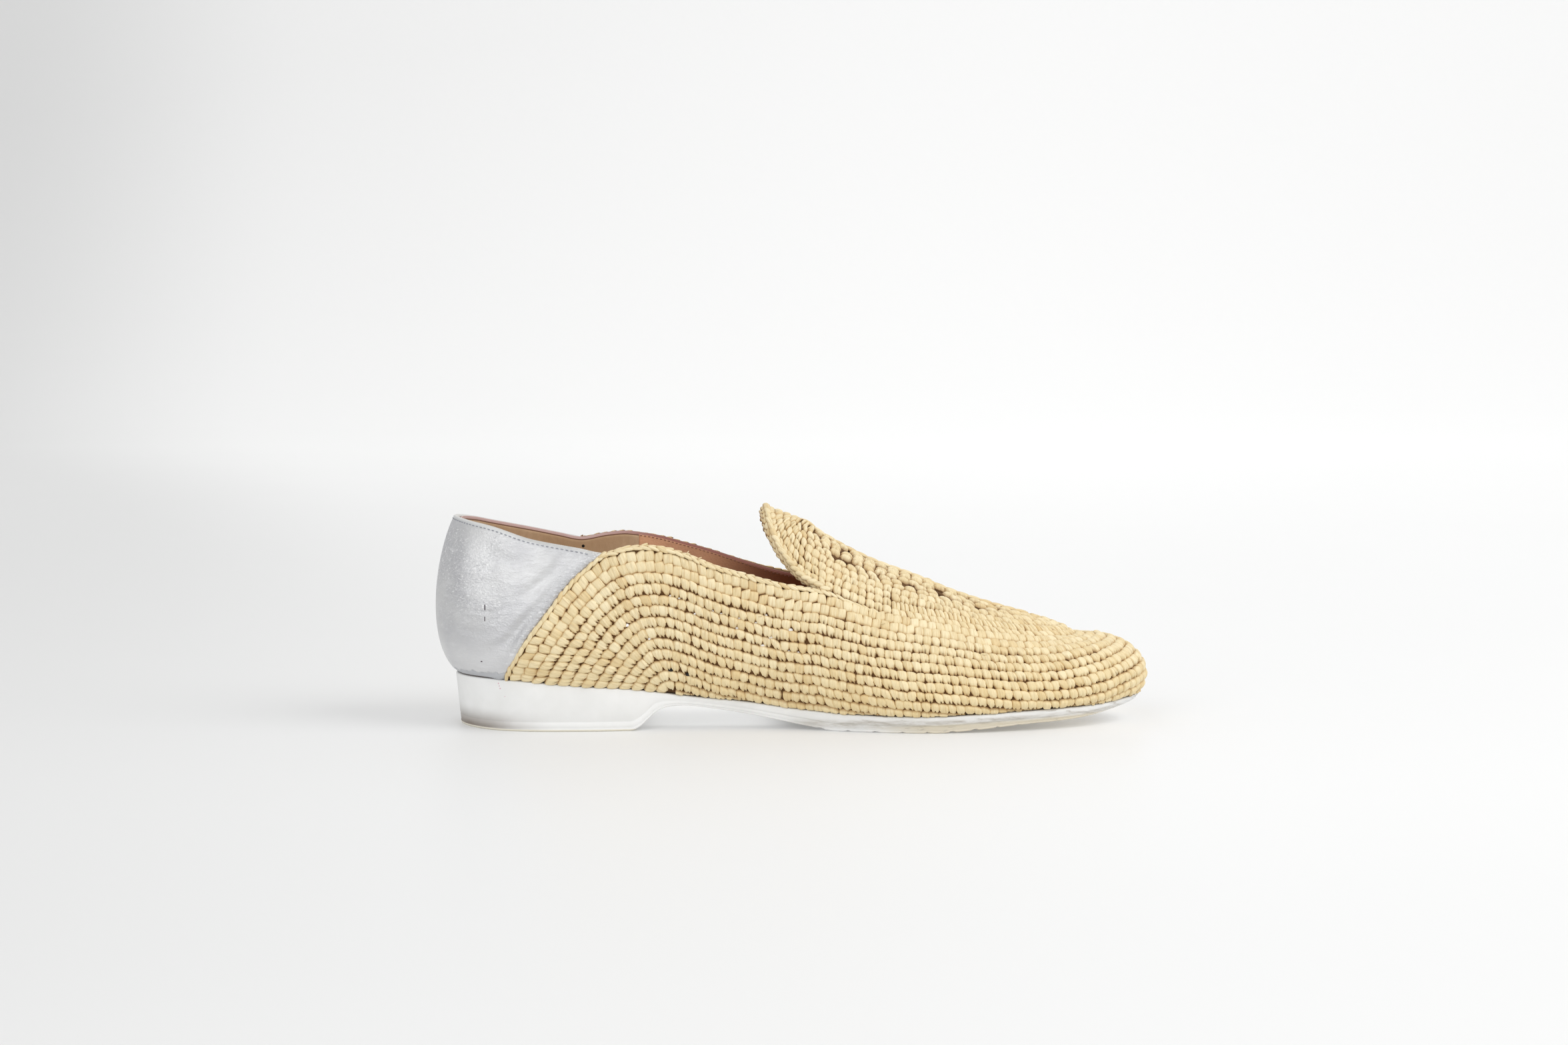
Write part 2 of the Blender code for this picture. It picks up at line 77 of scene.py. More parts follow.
# Fineness of the upper's row maps
RIB_SAMPLES = 61
REAR_FOOT_STEPS = 4
REAR_STEPS = 44
COLLAR_BACK_STEPS = 16
COLLAR_STEPS = 40
VAMP_STEPS = 90
TAB_STEPS = 44

# Crochet
CHAIN_DEPTH = 1.7
SEAM_DEPTH = -0.2
SEAM_START = THROAT_X - 1.0
SEAM_END = 30.0
FOOT_CLEAR = 0.25
FOOT_ROOM = 0.62
FAN_CORE = 2.4
BRICK_ROWS = 2
SHORTEST_ROW = 2
SHORTEST_LOOSE_ROW = 3
BACKING_SINK = 0.65
BACKING_THICK = 1.5
BACKING_FOOT_CLEAR = 0.15
BAND_BACKING_ROWS = 25
PLUG_BACKING_ROWS = 43
ROW_WANDER = 0.16
WANDER_LENGTH = (7, 13)
WANDER_PHASE = (0, 6)


def table(columns, *rows):
    """Named columns of a short table that has one row for each section."""
    return dict(zip(columns.split(), np.array(rows, float).T))


# Plan of the sole's top edge (the feather line) with its height
OUTLINE = table(
    "x medial lateral top",
    (HEEL_END, 0.0, 0.0, 18.6),
    (-118.0, 16.0, 16.0, 18.6),
    (-110.0, 23.0, 23.0, 18.5),
    (-100.0, 27.2, 27.2, 18.2),
    (-88.0, 28.8, 29.0, 17.2),
    (-75.0, 29.0, 30.0, 16.1),
    (-60.0, 28.0, 30.5, 15.1),
    (-40.0, 26.0, 31.0, 12.4),
    (-20.0, 25.5, 33.0, 10.3),
    (0.0, 28.5, 36.5, 7.8),
    (20.0, 34.5, 40.5, 6.3),
    (35.0, 38.5, 42.0, 6.0),
    (50.0, 40.0, 41.5, 6.1),
    (65.0, 39.0, 38.5, 6.7),
    (80.0, 36.0, 33.0, 7.3),
    (95.0, 31.5, 26.5, 7.7),
    (108.0, 25.5, 19.5, 8.1),
    (118.0, 18.0, 12.6, 8.9),
    (124.0, 11.8, 6.6, 9.6),
    (TOE_END, 2.5, -2.5, 9.9),
)

# Underside: flat heel, breast, raised waist, flat forefoot, toe spring
BOTTOM = table(
    "x z",
    (HEEL_END, 0.0),
    (-60.0, 0.0),
    (-57.0, 1.1),
    (-53.3, 4.3),
    (-50.7, 6.6),
    (-46.8, 8.4),
    (-41.5, 8.9),
    (-28.4, 7.4),
    (-10.0, 4.1),
    (4.0, 1.4),
    (14.0, 0.0),
    (50.0, 0.0),
    (60.0, 0.7),
    (79.0, 2.3),
    (101.0, 3.6),
    (111.0, 4.9),
    (119.0, 6.4),
    (TOE_END, 8.2),
)

# Top of the side wall over each station of the outline: the collar, then the edge of the plug
TOPLINE = table(
    "x top_x medial lateral",
    (HEEL_END, -123.7, 0.0, 0.0),
    (-118.0, -118.0, 14.2, 14.2),
    (-110.0, -110.0, 20.8, 20.8),
    (-100.0, -100.0, 25.2, 25.2),
    (-88.0, -88.0, 27.8, 27.8),
    (-60.0, -60.0, 29.5, 29.5),
    (-20.0, -20.0, 29.0, 29.8),
    (THROAT_X, THROAT_X, 27.2, 27.6),
    (35.0, 33.0, 27.0, 27.0),
    (50.0, 46.5, 26.2, 26.2),
    (65.0, 59.5, 24.5, 24.5),
    (80.0, 72.0, 22.0, 22.0),
    (95.0, 84.0, 18.0, 18.0),
    (108.0, 94.0, 13.0, 13.0),
    (118.0, 100.5, 7.8, 7.8),
    (124.0, 103.3, 3.4, 3.4),
    (TOE_END, 104.0, 0.0, 0.0),
)

# Height of the collar on each side
COLLAR = table(
    "x medial lateral",
    (HEEL_END, 76.2, 76.2),
    (-110.0, 73.8, 72.4),
    (-95.0, 69.3, 69.0),
    (-86.0, 67.6, 67.0),
    (-78.0, 66.2, 65.4),
    (-69.0, 64.5, 66.8),
    (-62.0, 66.5, 67.4),
    (-54.5, 67.1, 66.6),
    (-48.0, 66.4, 65.4),
    (-40.0, 64.1, 63.2),
    (-30.0, 60.0, 60.4),
    (-16.0, 55.9, 55.9),
    (-4.0, 52.8, 52.8),
    (THROAT_X, 50.6, 50.6),
)

# Vamp plug and tab: height of the spine and how hard the arch bends down from it
PLUG = table(
    "x spine bend",
    (-10.6, 78.3, 0.041),
    (-8.8, 77.8, 0.042),
    (-1.0, 74.8, 0.039),
    (4.0, 72.8, 0.033),
    (THROAT_X, 68.7, 0.0245),
    (29.0, 58.2, 0.0210),
    (44.5, 52.4, 0.0186),
    (59.0, 46.4, 0.0162),
    (74.0, 41.6, 0.0166),
    (88.0, 37.8, 0.0215),
    (95.0, 35.8, 0.026),
    (100.0, 33.7, 0.035),
    (104.0, 31.6, 0.045),
)

# Sideways place of the spine
SPINE = table(
    "x y",
    (-131.0, 0.0),
    (-60.0, 0.6),
    (50.0, 0.6),
    (80.0, -1.0),
    (104.0, -2.0),
    (131.0, -2.5),
)

# Free edge of the tab, from the throat corner to its tip
TAB = table(
    "share x half_width",
    (0.0, THROAT_X, 27.2),
    (0.2, 4.0, 24.2),
    (0.4, -1.0, 21.0),
    (0.6, -6.6, 16.6),
    (0.8, -9.6, 11.0),
    (0.9, -10.4, 6.0),
    (1.0, -10.6, 0.0),
)

# Handles of the side wall's section at its foot and at its top
RIB = table(
    "x foot_out foot_up top_out top_down",
    (HEEL_END, 11.4, 8.4, 8.4, 17.2),
    (-100.0, 7.4, 8.5, 4.5, 18.0),
    (-60.0, 6.0, 8.5, 3.0, 18.0),
    (-20.0, 7.0, 8.0, 3.0, 15.0),
    (THROAT_X, 6.5, 7.0, 8.0, 12.0),
    (50.0, 6.0, 6.5, 12.0, 12.0),
    (80.0, 6.0, 6.2, 13.0, 10.0),
    (108.0, 6.2, 6.1, 19.0, 5.0),
    (118.0, 6.3, 6.1, 24.0, 2.0),
    (TOE_END, 6.3, 6.1, 27.0, 0.6),
)

# Rear edge of the raffia: an arc about a point on the feather line, where its rows fan out
FAN_X = {"medial": -45.0, "lateral": -53.0}
JUNCTION_X = {"medial": -69.0, "lateral": -78.0}
REAR_EDGE = table("share radius", (0.0, 60.9), (0.25, 56.5), (0.5, 54.2), (0.8, 55.3), (1.0, 56.9))
REAR_CORNER_RISE = 5.0

# Spacing of the side rows along the shoe
ROW_PITCH = table("x pitch", (-45.0, 3.85), (THROAT_X, 3.75), (55.0, 3.7), (104.0, 3.9))

# Width of the side stitches along the shoe
STITCH_WIDTH = table("x width", (-70.0, 3.35), (-45.0, 3.25), (-10.0, 3.2), (60.0, 3.15), (104.0, 3.1))

# Rows of the plug from its rim inwards: kind, depth of the row's middle, row height, stitch width
PLUG_ROWS = (
    ("bars", 1.5, 2.5, 2.9),
    ("legs", 4.5, 3.9, 1.65),
    ("round", 8.1, 3.6, 3.3),
    ("round", 11.5, 3.5, 3.4),
)
TAB_ROWS = (
    ("round", 2.0, 3.3, 3.2),
    ("round", 5.3, 3.4, 3.2),
    ("round", 8.7, 3.4, 3.3),
    ("round", 12.1, 3.4, 3.3),
)
OPENWORK_X = 36.0
LOOSE_ROWS = 8
LOOSE_START = 13.6
LOOSE_HEIGHT = 2.7
LOOSE_WIDTH = 4.6
LOOSE_WANDER = 0.35
LOOSE_WANDER_LENGTH = 9.0


def curve(knots, values, level_ends=False):
    """A smooth function through the points that never swings past them, level at its ends on request."""
    step = np.diff(knots)
    slope = np.diff(values) / step
    before = 2.0 * step[1:] + step[:-1]
    after = step[1:] + 2.0 * step[:-1]
    same_way = slope[1:] * slope[:-1] > 0
    first = np.where(same_way, slope[:-1], 1.0)
    second = np.where(same_way, slope[1:], 1.0)
    middle = np.where(same_way, (before + after) / (before / first + after / second), 0.0)
    tangent = np.concatenate([slope[:1], middle, slope[-1:]])
    if level_ends:
        tangent[[0, -1]] = 0.0

    def at(place):
        place = np.clip(np.asarray(place, float), knots[0], knots[-1])
        i = np.clip(np.searchsorted(knots, place) - 1, 0, len(step) - 1)
        u = (place - knots[i]) / step[i]
        ends = values[i] * (1 + 2 * u) * (1 - u) ** 2 + values[i + 1] * u**2 * (3 - 2 * u)
        leans = tangent[i] * u * (1 - u) ** 2 - tangent[i + 1] * u**2 * (1 - u)
        return ends + leans * step[i]

    return at


def turn_of(x):
    """Angle that runs from 0 at the heel end to pi at the toe end, so that both ends come out round."""
    return np.arccos(np.clip((PLAN_MIDDLE - np.asarray(x, float)) / PLAN_HALF, -1.0, 1.0))


def x_of(turn):
    """The x of a turn, which undoes turn_of."""
    return PLAN_MIDDLE - PLAN_HALF * np.cos(turn)


def over_turn(data, column, level_ends=False):
    """A column of a table as a smooth function of the turn."""
    return curve(turn_of(data["x"]), data[column], level_ends)


feather_top = curve(OUTLINE["x"], OUTLINE["top"])
underside = curve(BOTTOM["x"], BOTTOM["z"])
spine_y = curve(SPINE["x"], SPINE["y"])
plug_spine = curve(PLUG["x"], PLUG["spine"])
plug_bend = curve(PLUG["x"], PLUG["bend"])
top_x = over_turn(TOPLINE, "top_x", True)
feather_half = {side: over_turn(OUTLINE, side) for side in SIDES}
top_half = {side: over_turn(TOPLINE, side) for side in SIDES}
collar_height = {side: curve(COLLAR["x"], COLLAR[side]) for side in SIDES}
rib_handle = {name: over_turn(RIB, name, True) for name in RIB if name != "x"}


def plug_height(x, y):
    """Height of the vamp's plug, or of the tab, over a point of the plan."""
    return plug_spine(x) - plug_bend(x) * (y - spine_y(x)) ** 2


def outward(side, turn):
    """Unit vector of the plan that points out of the outline."""
    low = np.clip(turn - SMALL_TURN, 0, math.pi)
    high = np.clip(turn + SMALL_TURN, 0, math.pi)
    along = PLAN_HALF * np.sin(turn)
    across = (feather_half[side](high) - feather_half[side](low)) / (high - low)
    length = np.hypot(along, across)
    return np.stack([-across / length, SIDES[side] * along / length, 0 * along], axis=-1)


def feather(side, turn, inset=0.0):
    """Point of the feather line, moved into the plan by the inset."""
    x = x_of(turn)
    point = np.stack([x, SIDES[side] * feather_half[side](turn), feather_top(x)], axis=-1)
    return point - np.asarray(inset)[..., None] * outward(side, turn)


def topline(side, turn):
    """Top of the side wall: the collar, then the edge of the plug."""
    x = top_x(turn)
    y = spine_y(x) + SIDES[side] * top_half[side](turn)
    z = np.where(x < THROAT_X - GAP, collar_height[side](x), plug_height(x, y))
    return np.stack([x, y, z], axis=-1)


def wall(side, turn, share):
    """Point of the side wall's outer face, at a share of the way from the feather line to the top."""
    foot = feather(side, turn, FOOT_INSET) + GAP * UP
    top = topline(side, turn)
    out = outward(side, turn)
    handle = {name: rule(turn)[..., None] for name, rule in rib_handle.items()}
    low = foot + handle["foot_out"] * out + handle["foot_up"] * UP
    high = top + handle["top_out"] * out - handle["top_down"] * UP
    t = np.asarray(share, float)[..., None]
    near = foot * (1 - t) ** 3 + 3 * low * t * (1 - t) ** 2
    return near + 3 * high * t**2 * (1 - t) + top * t**3


def wall_normal(side, turn, share):
    """Unit vector that points out of the side wall."""
    ahead = wall(side, np.minimum(turn + SMALL_STEP, math.pi), share)
    behind = wall(side, np.maximum(turn - SMALL_STEP, 0), share)
    up = wall(side, turn, share + SMALL_STEP) - wall(side, turn, share - SMALL_STEP)
    return -SIDES[side] * unit(np.cross(ahead - behind, up))


def bisect(low, high, is_below):
    """Value between low and high where is_below turns false."""
    for _ in range(HALVINGS):
        middle = (low + high) / 2
        below = is_below(middle)
        low = np.where(below, middle, low)
        high = np.where(below, high, middle)
    return (low + high) / 2


def share_at(side, turn, z):
    """Share of the wall at which a turn reaches a height."""
    return bisect(0 * z, 0 * z + 1, lambda share: wall(side, turn, share)[..., 2] < z)


def seen_at(side, x, z):
    """Turn and share of the wall point that a view from the side shows at x and z."""

    def is_behind(turn):
        return wall(side, turn, share_at(side, turn, z))[..., 0] < x

    turn = bisect(0 * x, 0 * x + turn_of(THROAT_X), is_behind)
    return turn, share_at(side, turn, z)


def rear_edge(side, shares, clearance=0.0):
    """Points in side view of the raffia's rear edge, from the feather line up to the collar."""
    centre = np.array([FAN_X[side], feather_top(FAN_X[side])])
    junction = np.array([JUNCTION_X[side], collar_height[side](JUNCTION_X[side])])
    last = math.atan2(*(junction - centre)[::-1])
    first = math.pi - math.asin(REAR_CORNER_RISE / REAR_EDGE["radius"][0])
    angle = first + (last - first) * shares
    radius = curve(REAR_EDGE["share"], REAR_EDGE["radius"])(shares) + clearance
    return centre + radius[:, None] * np.stack([np.cos(angle), np.sin(angle)], axis=-1)


def smooth(low, high, value):
    """Soft step from 0 to 1 between two values."""
    t = np.clip((np.asarray(value, float) - low) / (high - low), 0, 1)
    return t * t * (3 - 2 * t)


def bell(value, middle, reach):
    """Soft hump of height 1 about a middle value."""
    return np.exp(-(((value - middle) / reach) ** 2))


def run_along(points, axis=0):
    """Length from the first point of each line of points along one axis of a grid."""
    step = np.linalg.norm(np.diff(points, axis=axis), axis=-1)
    start = 0 * points.take([0], axis)[..., 0]
    return np.concatenate([start, np.cumsum(step, axis=axis)], axis=axis)


def follow(step, line):
    """Points of a line at fractions of its index."""
    index = np.arange(len(line))
    return np.stack([np.interp(step, index, line[:, axis]) for axis in range(3)], axis=-1)


def spans(valid):
    """First and last index of each unbroken run of true values."""
    edges = np.flatnonzero(np.diff(np.concatenate([[0], valid.astype(int), [0]])))
    return [(a, b - 1) for a, b in zip(edges[::2], edges[1::2])]


def unit(vectors):
    """Vectors of length 1 with the same directions."""
    return vectors / np.maximum(np.linalg.norm(vectors, axis=-1, keepdims=True), 1e-9)


# Row maps of the upper


class RowMap:
    """A patch of the upper, addressed by a station along its rows and a depth below its edge."""

    def __init__(self, ribs, normals=None, closed=False):
        run = run_along(ribs, axis=1)
        self.length = run[:, -1]
        self.points = self.evened(ribs, run)
        self.down = unit(np.gradient(self.points, axis=1))
        if normals is None:
            ring = np.concatenate([self.points[-2:-1], self.points, self.points[1:2]])
            along = np.gradient(ring, axis=0)[1:-1] if closed else np.gradient(self.points, axis=0)
            self.normals = unit(np.cross(self.down, unit(along)))
            self.normals[:, -1] = self.normals[:, -2]
        else:
            self.normals = unit(self.evened(normals, run))

    @staticmethod
    def evened(grid, run):
        """The values of each rib at even steps of its length."""
        share = np.linspace(0, 1, grid.shape[1])
        even = np.empty_like(grid)
        for i, rib in enumerate(grid):
            for axis in range(3):
                even[i, :, axis] = np.interp(share * run[i, -1], run[i], rib[:, axis])
        return even

    def length_at(self, station):
        return np.interp(station, np.arange(len(self.length)), self.length)

    def pick(self, grid, station, depth):
        """Value of a grid of the patch between its stations and levels."""
        last = len(self.length) - 1
        station = np.clip(station, 0, last)
        level = np.clip(depth / self.length_at(station), 0, 1) * (grid.shape[1] - 1)
        i = np.minimum(station.astype(int), last - 1)
        j = np.minimum(level.astype(int), grid.shape[1] - 2)
        f = (station - i)[..., None]
        g = (level - j)[..., None]
        near = grid[i, j] * (1 - g) + grid[i, j + 1] * g
        far = grid[i + 1, j] * (1 - g) + grid[i + 1, j + 1] * g
        return near * (1 - f) + far * f

    def normal(self, station, depth):
        return unit(self.pick(self.normals, station, depth))

    def at(self, station, depth, rise=0.0):
        """Points of the patch, raised along its normal. A depth below zero stands above the edge."""
        base = self.pick(self.points, station, depth)
        over = np.minimum(depth, 0.0)[..., None]
        edge = self.pick(self.down, station, 0 * depth)
        return base + over * edge + np.asarray(rise)[..., None] * self.normal(station, depth)


def fan_ribs(side):
    """Rear quarter: rays from the edge in to a point on the feather line, where the rows turn down."""
    centre = np.array([FAN_X[side], feather_top(FAN_X[side])])
    edge = rear_edge(side, np.linspace(0, 1, REAR_STEPS + 1))
    foot = np.repeat(edge[:1], REAR_FOOT_STEPS, axis=0)
    foot[:, 1] = centre[1] + np.linspace(0, 1, REAR_FOOT_STEPS + 1)[:-1] * (edge[0, 1] - centre[1])
    collar_x = np.linspace(JUNCTION_X[side], FAN_X[side], COLLAR_BACK_STEPS + 1)[1:]
    collar = np.stack([collar_x, collar_height[side](collar_x)], axis=-1)
    ends = np.concatenate([foot, edge, collar])
    view = centre + np.linspace(1, 0, RIB_SAMPLES)[None, :, None] * (ends - centre)[:, None, :]
    view[0, :, 1] = BELOW_FOOT
    view[:, -1, 1] = BELOW_FOOT
    view[REAR_FOOT_STEPS + REAR_STEPS :, 0, 1] += PAST_TOP
    return seen_at(side, view[..., 0], view[..., 1])


FAN_STATIONS = REAR_FOOT_STEPS + REAR_STEPS + 1 + COLLAR_BACK_STEPS


def side_ribs(side):
    """Ribs of one side from the rear edge's foot, round the fan and forward to the middle of the toe."""
    collar = turn_of(np.linspace(FAN_X[side], THROAT_X, COLLAR_STEPS + 1)[1:])
    vamp = np.linspace(turn_of(THROAT_X), math.pi, VAMP_STEPS + 1)[1:]
    turn = np.concatenate([collar, vamp])
    rear_turn, rear_share = fan_ribs(side)
    front_share = np.repeat(np.linspace(1, 0, RIB_SAMPLES)[None], len(turn), axis=0)
    turn = np.concatenate([rear_turn, np.repeat(turn[:, None], RIB_SAMPLES, axis=1)])
    share = np.concatenate([rear_share, front_share])
    return wall(side, turn, share), wall_normal(side, turn, share)


def plug_rim(side):
    """Plan of the plug's rim from the middle of the toe to the tip of the tab."""
    turn = np.linspace(math.pi, turn_of(THROAT_X), VAMP_STEPS + 1)
    front = topline(side, turn)[:, :2]
    share = np.linspace(0, 1, TAB_STEPS + 1)[1:]
    x = curve(TAB["share"], TAB["x"])(share)
    half = curve(TAB["share"], TAB["half_width"])(share)
    half *= top_half[side](turn_of(THROAT_X)) / TAB["half_width"][0]
    tab = np.stack([x, spine_y(x) + SIDES[side] * half], axis=-1)
    return np.concatenate([front, tab])


def plug_ribs():
    """Ribs of the plug from its rim in to its axis: toe, medial edge, tab, lateral edge, toe."""
    rim = np.concatenate([plug_rim("medial"), plug_rim("lateral")[::-1][1:]])
    run = (rim[:, 0] - PLUG["x"][0]) / (PLUG["x"][-1] - PLUG["x"][0])
    axis_x = AXIS_REAR + run * (AXIS_FRONT - AXIS_REAR)
    axis = np.stack([axis_x, spine_y(axis_x)], axis=-1)
    plan = rim[:, None] + np.linspace(0, 1, RIB_SAMPLES)[None, :, None] * (axis - rim)[:, None, :]
    return np.concatenate([plan, plug_height(plan[..., 0], plan[..., 1])[..., None]], axis=-1)


def collar_ribs(front_x, count):
    """Ribs from the top down, from the lateral side round the heel to the medial side."""
    turn = np.linspace(turn_of(front_x), 0, count)
    share = np.repeat(np.linspace(1, 0, RIB_SAMPLES)[None], count, axis=0)
    grid = np.repeat(turn[:, None], RIB_SAMPLES, axis=1)
    lateral = wall("lateral", grid, share)
    medial = wall("medial", grid, share)
    return np.concatenate([lateral, medial[::-1][1:]])


medial_ribs, medial_normals = side_ribs("medial")
lateral_ribs, lateral_normals = side_ribs("lateral")
band = RowMap(
    np.concatenate([medial_ribs, lateral_ribs[::-1][1:]]),
    np.concatenate([medial_normals, lateral_normals[::-1][1:]]),
)
plug = RowMap(plug_ribs(), closed=True)
BAND_END = len(band.length) - 1
PLUG_END = len(plug.length) - 1


# Meshes


class Mesh:
    """Points, faces and point values of one piece, gathered bit by bit."""

    def __init__(self):
        self.points = []
        self.faces = []
        self.values = {}
        self.count = 0

    def add(self, points, faces, **values):
        """Points of any grid shape; faces index them in flat order."""
        flat = points.reshape(-1, 3)
        self.points.append(flat)
        self.faces += (np.asarray(faces) + self.count).tolist()
        self.count += len(flat)
        for name, value in values.items():
            value = np.asarray(value, float)
            self.values.setdefault(name, []).append(value.reshape(len(flat), -1))


def grid_faces(rows, columns, ring=False):
    """Corners of the quads of a grid in flat order, closed round its columns on request."""
    index = np.arange(rows * columns).reshape(rows, columns)
    if ring:
        index = np.concatenate([index, index[:, :1]], axis=1)
    corners = np.stack([index[:-1, :-1], index[1:, :-1], index[1:, 1:], index[:-1, 1:]], axis=-1)
    return corners.reshape(-1, 4)


def repeated(faces, count, stride):
    """The same faces for each of many equal bits."""
    return (faces[None] + stride * np.arange(count)[:, None, None]).reshape(-1, faces.shape[1])


def thick_sheet(mesh, outer, inner, keep=None, **values):
    """A closed sheet between two grids of points, with any dropped cells left open right through."""
    rows, columns = outer.shape[:2]
    faces = grid_faces(rows, columns)
    if keep is not None:
        faces = faces[keep.ravel()]
    shift = rows * columns
    steps = np.concatenate([faces[:, [i, (i + 1) % 4]] for i in range(4)])
    known = set(map(tuple, steps.tolist()))
    border = np.array([(a, b) for a, b in steps.tolist() if (b, a) not in known])
    rim = np.stack([border[:, 1], border[:, 0], border[:, 0] + shift, border[:, 1] + shift], axis=1)
    every = np.concatenate([faces, faces[:, ::-1] + shift, rim])
    both = {name: np.concatenate([np.ravel(value)] * 2) for name, value in values.items()}
    mesh.add(np.concatenate([outer.reshape(-1, 3), inner.reshape(-1, 3)]), every, **both)


def make_piece(name, mesh, finish, replaced=()):
    """A piece of the shoe in the frame, on its only body."""
    data = bpy.data.meshes.new(name)
    points = (np.concatenate(mesh.points) - PLAN_CENTRE) * MM
    data.from_pydata(points, [], mesh.faces)
    for key, parts in mesh.values.items():
        value = np.concatenate(parts)
        kind, field = ("FLOAT", "value") if value.shape[1] == 1 else ("FLOAT_VECTOR", "vector")
        layer = data.attributes.new(key, kind, "POINT")
        layer.data.foreach_set(field, value.ravel())
    data.validate()
    data.shade_smooth()
    data.materials.append(finish)
    piece = bpy.data.objects.new(name, data)
    bpy.context.scene.collection.objects.link(piece)
    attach(piece, "root")
    if replaced:
        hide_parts(*replaced)
    return piece


WELD_DISTANCE = 0.002 * MM


def weld(piece):
    """Joins points that lie together and makes all faces point out."""
    body = bmesh.new()
    body.from_mesh(piece.data)
    bmesh.ops.remove_doubles(body, verts=body.verts, dist=WELD_DISTANCE)
    bmesh.ops.recalc_face_normals(body, faces=body.faces)
    body.to_mesh(piece.data)
    body.free()


# Stitches

STITCH_COLUMNS = 11
STITCH_ROWS = 9
STITCH_POINTS = STITCH_COLUMNS * STITCH_ROWS
SHAPE_VALUES = "overlap wide lean skew dome full arch notch split".split()
SHAPES = {
    "brick": (1.18, 1.20, 0.12, -0.10, 0.65, 3.8, 0.06, 0.38, 0.0),
    "puffy": (1.20, 1.27, 0.12, 0.0, 0.95, 4.0, 0.22, 0.74, 0.34),
    "round": (1.26, 1.22, 0.12, 0.0, 0.9, 2.7, 0.22, 0.64, 0.50),
    "legs": (1.16, 1.14, 0.15, 0.0, 0.8, 2.6, 0.08, 0.30, 0.0),
    "bars": (1.45, 1.12, 0.45, 0.0, 0.55, 2.6, 0.0, 0.2, 0.0),
    "loose": (1.06, 1.06, 0.0, 0.16, 0.9, 2.4, 0.20, 0.62, 0.45),
}
FACING_IN = ("round", "legs", "bars", "loose")
# How much the stitches of one kind differ from each other
SPREAD = dict(lean=0.12, skew=0.05, arch=0.05, wide=0.05, along=0.12, across=0.10, notch=0.13, dome=0.16)
SKEW_SPREAD_SHARE = 0.5
TOP_OVERLAP = 1.04
END_FULLNESS = 3.0
LOW_END_DROP = 0.25
NOTCH_REACH = 0.90
NOTCH_CUT = 8.0
SPLIT_PLACE = (-0.25, 0.35)
SPLIT_DEPTH = (0.2, 1.5)
SPLIT_HALF_WIDTH = 0.3
SPLIT_CUT = 3.4
LEAST_NOTCH = 1e-3
STITCH_ROOT = 1.0
STITCH_TILT = 0.5
# Each strand takes its own slice of the grain
GRAIN_SLICES = 90
FOOT_RISE = 0.2
INSIDE_GAP = 0.3
INSIDE_FLATNESS = 0.6
OPEN_CORNER_DROP = 0.40
OPEN_CORNER_SINK = 0.2

# Open lower corners of all stitches laid so far
open_corners = []


def stitch_shapes(kind, width, height, gape=1.0):
    """Offsets along and across the row, rise and crown of stitches of one kind, each a bit different.

    A stitch is a hood: full and touching its neighbours at the top, with an open notch at each lower
    corner and often a smaller one between its two legs.
    """
    shape = dict(zip(SHAPE_VALUES, SHAPES[kind]))
    count = len(width)
    a = np.linspace(-1, 1, STITCH_COLUMNS)[None, :, None]
    b = np.linspace(0, 1, STITCH_ROWS)[None, None, :]

    def vary(spread):
        return dice.normal(0, spread, count)[:, None, None]

    def draw(low, high):
        return dice.uniform(low, high, count)[:, None, None]

    lean = shape["lean"] + vary(SPREAD["lean"])
    skew = shape["skew"] + vary(SKEW_SPREAD_SHARE * abs(shape["skew"]) + SPREAD["skew"])
    arch = shape["arch"] + vary(SPREAD["arch"])
    top = -0.5 * shape["overlap"] * height * (TOP_OVERLAP - arch * a**2)
    bottom = 0.5 * shape["overlap"] * height
    along = 0.5 * width * (shape["wide"] + vary(SPREAD["wide"])) * a + lean * (b - 0.5) * height
    along = along + vary(SPREAD["along"])
    across = top + (bottom - top) * b + vary(SPREAD["across"]) + skew * a * height
    round_a = np.sqrt(np.clip(1 - np.abs(a) ** shape["full"], 0, 1))
    round_b = np.sqrt(np.clip(1 - np.abs(2 * b - 1) ** END_FULLNESS, 0, 1))
    round_b = round_b * (1 - LOW_END_DROP * np.clip(2 * b - 1, 0, 1) ** 2)
    notch = np.maximum(shape["notch"] * gape * (1 + vary(SPREAD["notch"])), LEAST_NOTCH)
    cut = NOTCH_REACH * notch
    corner = np.clip(1 - (1 - np.abs(a)) / cut - (1 - b) / cut, 0, 1)
    middle = draw(*SPLIT_PLACE)
    depth = np.maximum(shape["split"] * gape * draw(*SPLIT_DEPTH), LEAST_NOTCH)
    split = np.clip(1 - np.abs(a - middle) / SPLIT_HALF_WIDTH - (1 - b) / depth, 0, 1)
    crown = round_a * round_b * (1 - np.clip(NOTCH_CUT * corner + SPLIT_CUT * split, 0, 1))
    dome = shape["dome"] * (1 + vary(SPREAD["dome"]))
    rise = -STITCH_ROOT + (STITCH_ROOT + dome) * crown + STITCH_TILT * (0.5 - b) * crown
    if kind in FACING_IN:
        along, across = -along, -across
    fibre = np.stack(np.broadcast_arrays(along, across, 0 * rise), axis=-1)
    return along, across, rise, crown, fibre


